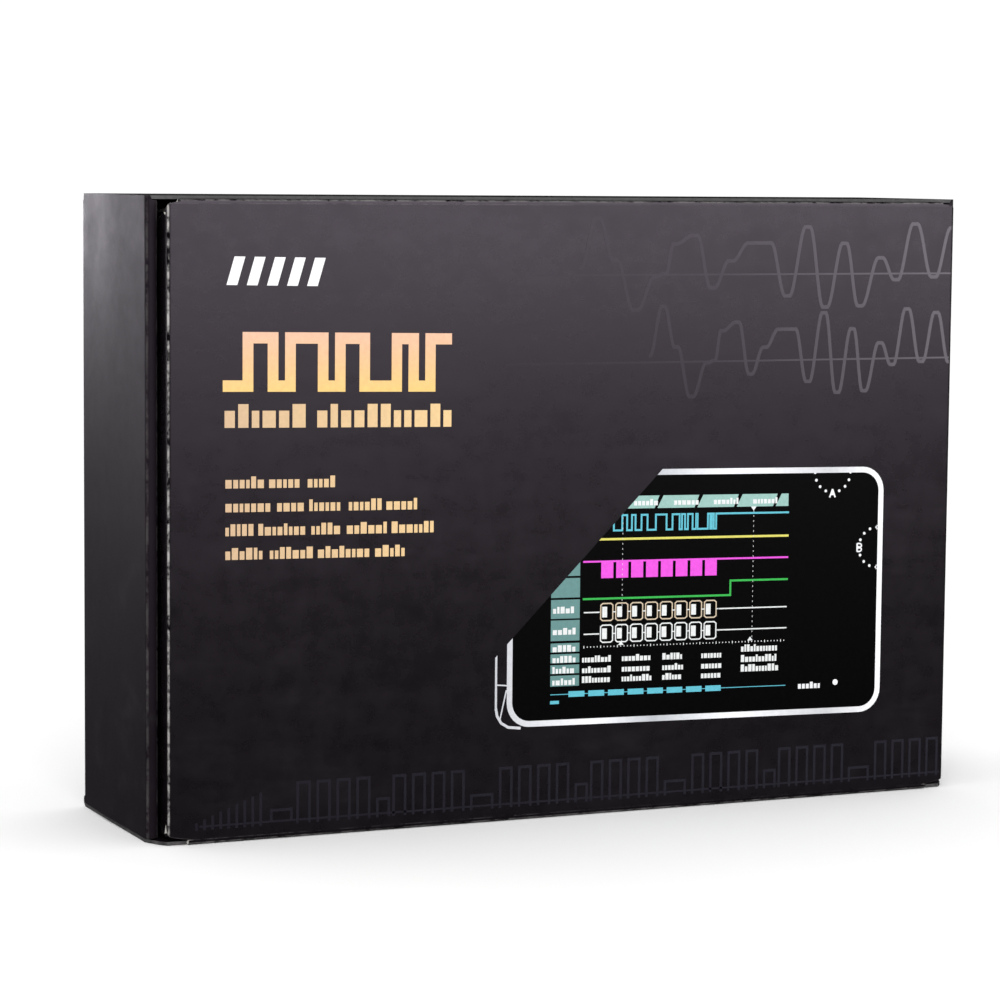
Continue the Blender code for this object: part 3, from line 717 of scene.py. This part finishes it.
LEVEL_SHARE = 0.13  # the part of each run, at either end, on which the burst stays level
TRACE_END = 94.2
TRACE_LINE = 0.8
AXIS_LINE = 0.4
PULSE_AXIS = 3.8  # the height of the pulse train's own centre line
PULSE_FOOT = 3.0  # the height that its verticals start from
PULSE_LINE = 0.6


def burst():
    """Points along the burst: it levels off at each beat and runs steeply between them."""
    points = []
    for (x0, low), (x1, high) in zip(BEATS, BEATS[1:]):
        steps = max(4, round((x1 - x0) / 0.35))
        for k in range(steps):
            share = k / steps
            run = min(1.0, max(0.0, (share - LEVEL_SHARE) / (1 - 2 * LEVEL_SHARE)))
            points.append((x0 + (x1 - x0) * share, low + (high - low) * run * run * (3 - 2 * run)))
    return points


def lid_traces():
    """Two faint sine traces at the upper right, and a fainter pulse train along the lid's foot."""
    traces = Print("print_sine_traces", TRACE_INK, tilt=0.0)
    for centre, start, shift, squeeze in TRACES:
        traces.bar(start, centre - AXIS_LINE / 2, TRACE_END, centre + AXIS_LINE / 2)
        points = [(shift + squeeze * x, centre + z) for x, z in burst()]
        traces.stroke([p for p in points if p[0] < TRACE_END + 0.1], TRACE_LINE)
    traces.done()

    pulses = Print("print_pulse_train", PULSE_INK, tilt=0.0)
    pulses.bar(-88, PULSE_AXIS - AXIS_LINE / 2, 94.0, PULSE_AXIS + AXIS_LINE / 2)
    for k in range(9):
        tick = -88.6 + 1.8 * k
        pulses.stroke([(tick, PULSE_FOOT), (tick, 4.6 + 0.7 * k)], PULSE_LINE)
    pulses.stroke([(-71.8, PULSE_AXIS), (-71.8, 6.2), (-67.2, 6.2), (-67.2, PULSE_AXIS)], PULSE_LINE)
    x = -65.8
    beat = 0
    while x < 91:
        small, low = beat % 10 == 4, beat % 10 == 9
        wide = 5.0 if low else 2.7
        top = PULSE_AXIS + (2.4 if low else 3.2 if small else 8.0)
        pulses.stroke([(x, PULSE_FOOT), (x, top), (x + wide, top), (x + wide, PULSE_FOOT)], PULSE_LINE)
        x += wide + (1.1 if small else 1.9)
        beat += 1
    pulses.done()


# The printed picture of the analyzer: its left and lower corner on the lid, its size, and its diagonal cut.
PICTURE_X, PICTURE_Z = -16.9, 21.9
PICTURE_WIDE, PICTURE_TALL = 94.4, 56.8
PICTURE_CORNER = 5.5
DIAGONAL_RISE = 56.2  # the cut runs at 45 degrees: a point shows where z - x is less than this
SCREEN = (-6.4, 27.1, 53.0, 72.8)  # its left, lower, right and upper edges on the lid


def clip_to_diagonal(points):
    """Keeps the part of a convex outline that lies below the diagonal."""
    kept = []
    for i, p in enumerate(points):
        q = points[(i + 1) % len(points)]
        a, b = p[1] - p[0] - DIAGONAL_RISE, q[1] - q[0] - DIAGONAL_RISE
        if a <= 0:
            kept.append(p)
        if a * b < 0:
            t = a / (a - b)
            kept.append((p[0] + (q[0] - p[0]) * t, p[1] + (q[1] - p[1]) * t))
    return kept


def picture_outline(inset):
    """The rounded outline of the printed analyzer, drawn in by inset."""
    x0, z0 = PICTURE_X + inset, PICTURE_Z + inset
    x1, z1 = PICTURE_X + PICTURE_WIDE - inset, PICTURE_Z + PICTURE_TALL - inset
    r = PICTURE_CORNER - inset
    corners = ((x1 - r, z0 + r, -90), (x1 - r, z1 - r, 0), (x0 + r, z1 - r, 90), (x0 + r, z0 + r, 180))
    outline = []
    for cx, cz, start in corners:
        outline += arc_points(cx, cz, r, start, start + 90, 8)
    return outline


def picture_print(name, material, height):
    """A print that ends at the picture's diagonal."""
    return Print(name, material, height, PRINT_TILT, clip_to_diagonal)


def lid_picture():
    """The picture of the analyzer on the lid: silver frame, black front, dial marks and screen."""
    black = ink("picture_black_ink", (0.0012, 0.0010, 0.0012), 0.3, 0.05)
    face = picture_print("print_picture_face", black, 1)
    face.shape(picture_outline(0.4))
    face.done()
    silver = gradient_ink(
        "picture_silver_ink",
        "X",
        -0.02,
        0.078,
        [
            *((0.0, (0.55, 0.56, 0.6)), (0.25, (0.95, 0.96, 1.0)), (0.4, (0.5, 0.52, 0.56))),
            *((0.6, (0.95, 0.96, 1.0)), (0.85, (0.6, 0.61, 0.64)), (1.0, (0.97, 0.97, 1.0))),
        ],
    )
    rim = picture_print("print_picture_frame", silver, 2)
    rim.stroke(picture_outline(0.65), 1.3, True)
    side_x, side_foot = PICTURE_X - 2.6, PICTURE_Z + 2.4
    rim.stroke([(side_x, side_foot + 14), (side_x, side_foot + 2)], 0.5)
    corner = ((0, 2), (0.3, 0.3), (1.3, -1.3), (3.0, -2.3), (6.0, -2.6))
    rim.stroke([(side_x + x, side_foot + z) for x, z in corner], 0.6)
    rim.stroke([(side_x, side_foot + 7.2), (side_x + 2.6, side_foot + 7.0)], 0.3)
    rim.stroke([(side_x + 2.5, side_foot + 6.0), (side_x + 1.0, side_foot - 0.5)], 0.3)
    rim.done()

    marks = picture_print("print_dial_marks", ink("picture_white_ink", (0.85, 0.86, 0.88)), 2)
    right, top = PICTURE_X + PICTURE_WIDE, PICTURE_Z + PICTURE_TALL
    upper_x, side_z = right - 13.4, top - 18.6
    dial_marks(marks, upper_x, top - 1.2, 90)
    dial_marks(marks, right - 1.6, side_z, 0)
    letter_a(marks, upper_x, top - 6.0)
    letter_b(marks, right - 6.1, side_z)
    greek(marks, 56.0, 62.3, PICTURE_Z + 6.0, 1.5, 1.25, 77)
    marks.shape(arc_points(65.7, PICTURE_Z + 7.2, 0.68, 0, 345, 23))
    marks.done()
    lid_screen()


DIAL_RADIUS = 4.6
DIAL_DOTS = 9


def dial_marks(out, x, z, toward):
    """A half ring of dots round a thumbwheel, with a small arrow at each end."""
    for i in range(DIAL_DOTS):
        angle = toward + 90 + 180 * i / (DIAL_DOTS - 1)
        dot = arc_points(x, z, DIAL_RADIUS, angle, angle, 1)[0]
        out.shape(arc_points(dot[0], dot[1], 0.34, 0, 330, 11))
    for sign in (-1, 1):
        angle = math.radians(toward + 180 + sign * 90)
        tip = Vector((x + DIAL_RADIUS * math.cos(angle), z + DIAL_RADIUS * math.sin(angle)))
        out_way = Vector((math.cos(math.radians(toward)), math.sin(math.radians(toward))))
        side = Vector((-out_way.y, out_way.x))
        out.shape([tuple(tip + out_way * 1.0), tuple(tip + side * 0.6), tuple(tip - side * 0.6)])


LETTER_HALF = 0.95  # half a dial letter's height
LETTER_LINE = 0.38


def letter_a(out, x, z):
    foot, head, wide = z - LETTER_HALF, z + LETTER_HALF, LETTER_HALF * 0.75
    out.stroke([(x - wide, foot), (x, head)], LETTER_LINE)
    out.stroke([(x, head), (x + wide, foot)], LETTER_LINE)
    bar_wide, bar_z = LETTER_HALF * 0.45, z - LETTER_HALF * 0.3
    out.stroke([(x - bar_wide, bar_z), (x + bar_wide, bar_z)], 0.3)


def letter_b(out, x, z):
    left, bowl_radius = x - LETTER_HALF * 0.6, LETTER_HALF * 0.48
    out.stroke([(left, z - LETTER_HALF), (left, z + LETTER_HALF)], LETTER_LINE)
    for centre in (z + bowl_radius, z - bowl_radius):
        bowl = [(left, centre - bowl_radius)]
        bowl += arc_points(x + LETTER_HALF * 0.1, centre, bowl_radius, -90, 90, 6)
        bowl += [(left, centre + bowl_radius)]
        out.stroke(bowl, 0.34)


# The bytes on the screen: the first one's left edge, their pitch and their width, as shares of its width.
BYTE_START, BYTE_PITCH, BYTE_WIDE = 0.205, 0.0622, 0.05


def lid_screen():
    """The printed screen: tabs, traces, two rows of decoded cells, a ruler, a table and an overview bar."""
    x0, z0, x1, z1 = SCREEN
    wide, tall = x1 - x0, z1 - z0

    def at(s, t):
        """The place of a point given as shares of the screen's width and height, from its top left."""
        return x0 + wide * s, z1 - tall * t

    def new(name, colour, height=2):
        return picture_print(name, ink(f"{name}_ink", colour), height)

    mint = new("print_screen_tabs", (0.3, 0.52, 0.47))
    for i in range(6):
        left, right = 0.1 + i * 0.168, 0.1 + (i + 1) * 0.168 - 0.012
        right = min(right, 0.995)
        a, b = at(left + 0.025, 0.0), at(right + 0.02 if right < 0.98 else right, 0.0)
        c, d = at(right, 0.062), at(left, 0.062)
        mint.shape([d, c, b, a])
    mint.done()

    teal = new("print_screen_cells", (0.12, 0.27, 0.26))
    rows = (
        *((0.3, 0.385), (0.395, 0.49), (0.5, 0.592), (0.6, 0.7)),
        *((0.712, 0.755), (0.765, 0.808), (0.818, 0.86), (0.87, 0.922)),
    )
    for top, bottom in rows:
        a, b = at(0.0, bottom), at(0.118, top)
        teal.bar(*a, *b)
    teal.done()

    cyan = new("print_screen_pulses", (0.1, 0.5, 0.62))
    high, low = 0.094, 0.168
    edges = (
        *(0.225, 0.255, 0.29, 0.31, 0.33, 0.345, 0.37, 0.395),
        *(0.43, 0.475, 0.5, 0.53, 0.54, 0.553, 0.565, 0.585),
        *(0.6, 0.606, 0.65, 0.66, 0.667, 0.675, 0.685),
    )
    points = [at(0.2, low)]
    level = low
    for edge in edges:
        points.append(at(edge, level))
        level = high if level == low else low
        points.append(at(edge, level))
    if level == low:
        points += [at(0.69, low), at(0.69, high)]
    points.append(at(0.998, high))
    cyan.stroke(points, 0.42)
    cyan.stroke([at(0.0, 0.962), at(0.995, 0.962)], 0.16)
    for i in range(8):
        a, b = at(0.075 + i * 0.082, 0.976), at(0.075 + i * 0.082 + 0.066, 0.948)
        cyan.bar(*a, *b)
    cyan.bar(*at(0.0, 1.008), *at(0.036, 0.992))
    cyan.done()

    yellow = new("print_screen_yellow_trace", (0.72, 0.66, 0.12))
    yellow.stroke([at(0.19, 0.21), at(0.998, 0.21)], 0.5)
    yellow.done()

    magenta = new("print_screen_magenta_trace", (0.82, 0.07, 0.72))
    magenta.stroke([at(0.13, 0.318), at(0.998, 0.318)], 0.4)
    for i in range(8):
        left = BYTE_START + i * BYTE_PITCH
        magenta.bar(*at(left, 0.4), *at(left + BYTE_WIDE, 0.32))
    magenta.done()

    green = new("print_screen_green_trace", (0.02, 0.46, 0.06))
    green.stroke([at(0.13, 0.5), at(0.75, 0.5), at(0.75, 0.428), at(0.998, 0.428)], 0.45)
    green.done()

    peach = new("print_screen_bus_boxes", (0.62, 0.5, 0.36))
    white = new("print_screen_white", (0.78, 0.8, 0.8), 3)
    for row, middle in enumerate((0.566, 0.672)):
        boxes = white if row else peach
        white.stroke([at(0.135, middle), at(0.2, middle)], 0.28)
        white.stroke([at(0.7, middle), at(0.995, middle)], 0.28)
        for i in range(8):
            left = BYTE_START + i * BYTE_PITCH
            right, top, bottom = left + BYTE_WIDE, middle - 0.042, middle + 0.042
            cut = 0.008
            outline = (
                *((left + cut, top), (right - cut, top), (right, top + cut), (right, bottom - cut)),
                *((right - cut, bottom), (left + cut, bottom), (left, bottom - cut), (left, top + cut)),
            )
            boxes.stroke([at(*corner) for corner in outline], 0.28, True)
            white.bar(*at(left + 0.006, middle + 0.026), *at(left + 0.026, middle - 0.026))
            white.stroke([at(right, middle), at(left + BYTE_PITCH, middle)], 0.24)
    for i in range(62):
        s = 0.135 + i * 0.0139
        reach = 0.012 if i % 5 == 0 else 0.006
        white.bar(*at(s, 0.735 + reach / 2), *at(s + 0.003, 0.735 - reach / 2))
    for row, t in enumerate((0.79, 0.842, 0.89)):
        for column, s in enumerate((0.13, 0.295, 0.465, 0.63)):
            x, z = at(s, t)
            greek(white, x, x + (7.4 if column < 2 else 5.2), z - 0.9, 1.45, 1.0, 200 + row * 7 + column)
        x, z = at(0.8, t - 0.025)
        greek(white, x, x + 9.6, z - 0.9, 1.6, 1.05, 300 + row)
    for row, (top, bottom) in enumerate(rows[2:]):
        x, z = at(0.008, (top + bottom) / 2 + 0.014)
        greek(white, x, x + 5.6, z - 0.3, 1.5, 1.25, 400 + row)
    for i in range(5):
        x, z = at(0.17 + i * 0.168, 0.048)
        greek(white, x, x + 6.2, z, 1.4, 1.2, 500 + i)
    for s in (0.292, 0.845):
        for i in range(26):
            t = 0.08 + i * 0.025
            white.bar(*at(s, t + 0.008), *at(s + 0.0016, t))
    for s, t, down in ((0.845, 0.072, 1), (0.29, 0.72, -1), (0.838, 0.72, -1)):
        x, z = at(s, t)
        base = z + 0.45 * down
        white.shape([(x - 0.7, base), (x, z - 0.45 * down), (x + 0.7, base)])
    peach.done()
    white.done()


# ---- foam ----
FOAM = foam_material()
CUT_WAVE = 0.1 * MM  # how far the die-cut surface strays


def foam_layer(name, source, voxel):
    """A die-cut layer of foam: the CAD layer with softened, slightly uneven edges."""
    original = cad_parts[source]
    obj = bpy.data.objects.new(name, original.data.copy())
    bpy.context.scene.collection.objects.link(obj)
    remesh = obj.modifiers.new("even_grid", "REMESH")
    remesh.mode = "VOXEL"
    remesh.voxel_size = voxel
    remesh.adaptivity = 0.0
    evaluated = obj.evaluated_get(bpy.context.evaluated_depsgraph_get())
    mesh = bpy.data.meshes.new_from_object(evaluated)
    obj.modifiers.clear()
    obj.data = mesh
    for vert in mesh.vertices:
        vert.co += noise.noise_vector(vert.co * 260.0) * CUT_WAVE
    mesh.materials.clear()
    mesh.materials.append(FOAM)
    mesh.shade_smooth()
    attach(obj, "carton")
    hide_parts(source)


# ---- analyzer ----
def analyzer_print():
    """The black print behind the window, and the white dial marks on it."""
    low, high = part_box("front_window")
    glass_low, glass_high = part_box("display_glass")
    y = high.y + 0.08 * MM
    thick = 0.06 * MM
    inset = 1.0 * MM
    overlap, overlap_right = 1.4 * MM, 2.0 * MM
    left, right = low.x + inset, high.x - inset
    foot, top = low.z + inset, high.z - inset
    hole_left, hole_right = glass_low.x + overlap, glass_high.x - overlap_right
    hole_foot, hole_top = glass_low.z + overlap, glass_high.z - overlap
    bm = bmesh.new()
    cells = (
        (left, foot, hole_left, top),
        (hole_right, foot, right, top),
        (hole_left, foot, hole_right, hole_foot),
        (hole_left, hole_top, hole_right, top),
    )
    for x0, z0, x1, z1 in cells:
        centre = Vector(((x0 + x1) / 2, y, (z0 + z1) / 2))
        made = bmesh.ops.create_cube(bm, size=1.0)
        for vert in made["verts"]:
            vert.co = centre + Matrix.Diagonal((x1 - x0, thick, z1 - z0)) @ vert.co
    black = ink("window_black_print", (0.004, 0.004, 0.0045), 0.35)
    mask = to_object("window_print", bm, (black,), "analyzer")

    letter_gap = 6.6  # in mm, from a wheel's centre
    white = ink("window_white_print", (0.7, 0.71, 0.73))
    marks = Print("window_dial_marks", white, tilt=0.0, face=y - thick / 2)
    for wheel, toward in (("wheel_a", 90), ("wheel_b", 0)):
        wheel_low, wheel_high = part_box(wheel)
        centre = (wheel_low + wheel_high) / 2 / MM
        x, z = centre.x, centre.z
        dial_marks(marks, x, z, toward)
        if toward:
            letter_a(marks, x, z - letter_gap)
        else:
            letter_b(marks, x - letter_gap, z)
    marks.done("analyzer", "window")


def window_glass():
    """Clear glass with faint smears."""
    made, tree, shader = new_material("window_glass")
    smears = noise_at(tree, 55.0, 5.0, 0.6)
    tint = ramp(tree, smears, [(0.3, (0.93, 0.95, 0.95)), (0.7, (1, 1, 1))])
    tree.links.new(tint, shader.inputs["Base Color"])
    tree.links.new(grey_ramp(tree, smears, 0.02, 0.09, 0.4, 0.75), shader.inputs["Roughness"])
    shader.inputs["Transmission Weight"].default_value = 1.0
    shader.inputs["IOR"].default_value = 1.5
    return made


# The finish of each CAD node that shows as it is, by the start of the node's name. A finish is its name, its
# two colours, its roughness range, the scale of its grain, and then what differs from a plain dull surface.
FINISHES = {
    ("analyzer_bezel", "rear_cover"): dict(
        name="blasted_aluminium",
        colours=((0.6, 0.61, 0.63), (0.78, 0.79, 0.81)),
        roughness=(0.26, 0.4),
        scale=1800.0,
        metallic=1.0,
        strength=0.25,
    ),
    ("display_backlight", "clock_crystal", "usb_socket", "key_switch", "encoder"): dict(
        name="drawn_steel",
        colours=((0.42, 0.42, 0.42), (0.62, 0.61, 0.6)),
        roughness=(0.2, 0.4),
        scale=900.0,
        metallic=1.0,
        strength=0.15,
        stretch=(0.1, 1, 1),
    ),
    ("case_screw",): dict(
        name="screw_steel",
        colours=((0.3, 0.3, 0.31), (0.5, 0.5, 0.5)),
        roughness=(0.25, 0.4),
        scale=1500.0,
        metallic=1.0,
    ),
    ("controller_chip", "gate_array_chip", "flash_chip", "charger_chip", "buzzer", "probe_port"): dict(
        name="moulded_black",
        colours=((0.012, 0.012, 0.012), (0.03, 0.03, 0.03)),
        roughness=(0.45, 0.65),
        scale=2500.0,
    ),
    ("wheel",): dict(
        name="wheel_black",
        colours=((0.014, 0.014, 0.015), (0.04, 0.04, 0.042)),
        roughness=(0.4, 0.6),
        scale=1600.0,
    ),
    ("key_",): dict(
        name="key_satin",
        colours=((0.5, 0.51, 0.53), (0.68, 0.69, 0.71)),
        roughness=(0.22, 0.36),
        scale=1200.0,
        metallic=1.0,
        stretch=(1, 0.1, 1),
    ),
    ("main_board",): dict(
        name="solder_mask",
        colours=((0.008, 0.07, 0.03), (0.02, 0.15, 0.07)),
        roughness=(0.25, 0.45),
        scale=350.0,
        strength=0.3,
    ),
    ("display_ribbon",): dict(
        name="amber_film",
        colours=((0.4, 0.17, 0.03), (0.6, 0.3, 0.07)),
        roughness=(0.25, 0.4),
        scale=600.0,
    ),
    ("battery_cell",): dict(
        name="foil_pouch",
        colours=((0.45, 0.46, 0.5), (0.66, 0.67, 0.7)),
        roughness=(0.3, 0.5),
        scale=200.0,
        metallic=0.7,
        strength=0.4,
    ),
    ("display_glass",): dict(
        name="display_off",
        colours=((0.006, 0.008, 0.010), (0.012, 0.014, 0.017)),
        roughness=(0.08, 0.14),
        scale=300.0,
        strength=0.02,
    ),
    ("status_light",): dict(
        name="light_guide_clear",
        colours=((0.6, 0.66, 0.66), (0.8, 0.85, 0.85)),
        roughness=(0.1, 0.2),
        scale=800.0,
        strength=0.05,
        Transmission_Weight=0.6,
    ),
}


def carried_materials():
    """Gives each CAD node that shows as it is its material. The longest matching start wins."""
    by_start = {"front_window": window_glass(), "left_": BODY_BOARD_PAINTED_LIGHT, "right_": BODY_BOARD_PAINTED_LIGHT}
    for starts, finish in FINISHES.items():
        made = simple_material(**finish)
        by_start.update(dict.fromkeys(starts, made))
    for name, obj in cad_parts.items():
        if obj.hide_render:
            continue
        start = max((s for s in by_start if name.startswith(s)), key=len)
        obj.data.materials.clear()
        obj.data.materials.append(by_start[start])


# ---- camera, lights and floor ----
VIEW_YAW = math.radians(23.96)
VIEW_DOWN = math.radians(5.62)
VIEW_ROLL = math.radians(0.50)
VIEW_FROM = (-0.3144, -0.6904, 0.1428)
FOCAL_LENGTH = 120.6

MATTE, REFLECTIONS = "visible_diffuse", "visible_glossy"  # what a lamp may leave out
DIM_WORLD = 0.05
FLOOR_HALF = 40.0
FLOOR_SHADES = (0.97, 0.99)


def camera():
    """The camera, from where the photograph was taken."""
    data = bpy.data.cameras.new("camera")
    data.lens = FOCAL_LENGTH
    data.sensor_width = 36.0
    data.clip_start = 0.01
    obj = bpy.data.objects.new("camera", data)
    turn = (
        Matrix.Rotation(-VIEW_YAW, 4, "Z")
        @ Matrix.Rotation(math.pi / 2 - VIEW_DOWN, 4, "X")
        @ Matrix.Rotation(VIEW_ROLL, 4, "Z")
    )
    obj.matrix_world = Matrix.Translation(VIEW_FROM) @ turn
    bpy.context.scene.collection.objects.link(obj)
    bpy.context.scene.camera = obj


def softbox(name, place, aim, size, power, leaves_out, colour=(1.0, 1.0, 1.0)):
    """A rectangular lamp that the camera can't see. leaves_out names the kind of shading it doesn't light."""
    data = bpy.data.lights.new(name, "AREA")
    data.shape = "RECTANGLE"
    data.size, data.size_y = size
    data.energy = power
    data.color = colour
    obj = bpy.data.objects.new(name, data)
    obj.location = place
    obj.rotation_euler = (Vector(aim) - Vector(place)).to_track_quat("-Z", "Y").to_euler()
    obj.visible_camera = False
    setattr(obj, leaves_out, False)
    bpy.context.scene.collection.objects.link(obj)


def floor():
    """A pale floor that doesn't show in reflections."""
    floor_material, tree, shader = new_material("pale_floor")
    shade = grey_ramp(tree, noise_at(tree, 6.0), *FLOOR_SHADES, 0.3, 0.7)
    tree.links.new(shade, shader.inputs["Base Color"])
    shader.inputs["Roughness"].default_value = 0.95
    shader.inputs["Specular IOR Level"].default_value = 0.0
    bm = bmesh.new()
    bmesh.ops.create_grid(bm, x_segments=2, y_segments=2, size=FLOOR_HALF)
    ground = to_object("floor", bm, (floor_material,), None)
    ground.location.z = -0.05 * MM
    ground.visible_glossy = False


def studio():
    """A white world, dimmed to DIM_WORLD in reflections, with softboxes in front and behind."""
    world = bpy.data.worlds.new("studio")
    world.use_nodes = True
    tree = world.node_tree
    background = tree.nodes["Background"]
    background.inputs["Color"].default_value = (1.0, 1.0, 1.0, 1.0)
    path = tree.nodes.new("ShaderNodeLightPath")
    strength = maths(tree, "SUBTRACT", 1 + DIM_WORLD, path.outputs["Is Glossy Ray"])
    tree.links.new(strength, background.inputs["Strength"])
    bpy.context.scene.world = world
    bpy.context.scene.view_settings.view_transform = "Standard"

    softbox("sheen_light", (0.18, -0.5, 0.345), (0, -0.02, 0.09), (0.8, 0.6), 5.4, MATTE)
    softbox("edge_light", (-0.5, 0.6, 0.2), (-0.1, 0.02, 0.1), (0.25, 0.38), 0.8, MATTE, (0.97, 0.92, 1.0))
    softbox("rim_light", (-0.14, 0.75, 0.24), (-0.1, 0.02, 0.12), (0.3, 0.3), 2.0, MATTE, (0.97, 0.93, 1.0))
    softbox("front_light", (-0.5, -1.2, 0.9), (0, 0, 0.07), (0.8, 0.8), 7.0, REFLECTIONS)


carton()
lid()
lid_lettering()
lid_traces()
lid_picture()
foam_layer("foam_base_insert", "foam_base_layer", 2.0 * MM)
foam_layer("foam_middle_insert", "foam_middle_layer", 1.6 * MM)
foam_layer("foam_top_insert", "foam_top_layer", 1.1 * MM)
analyzer_print()
carried_materials()
camera()
floor()
studio()

bpy.context.view_layer.update()
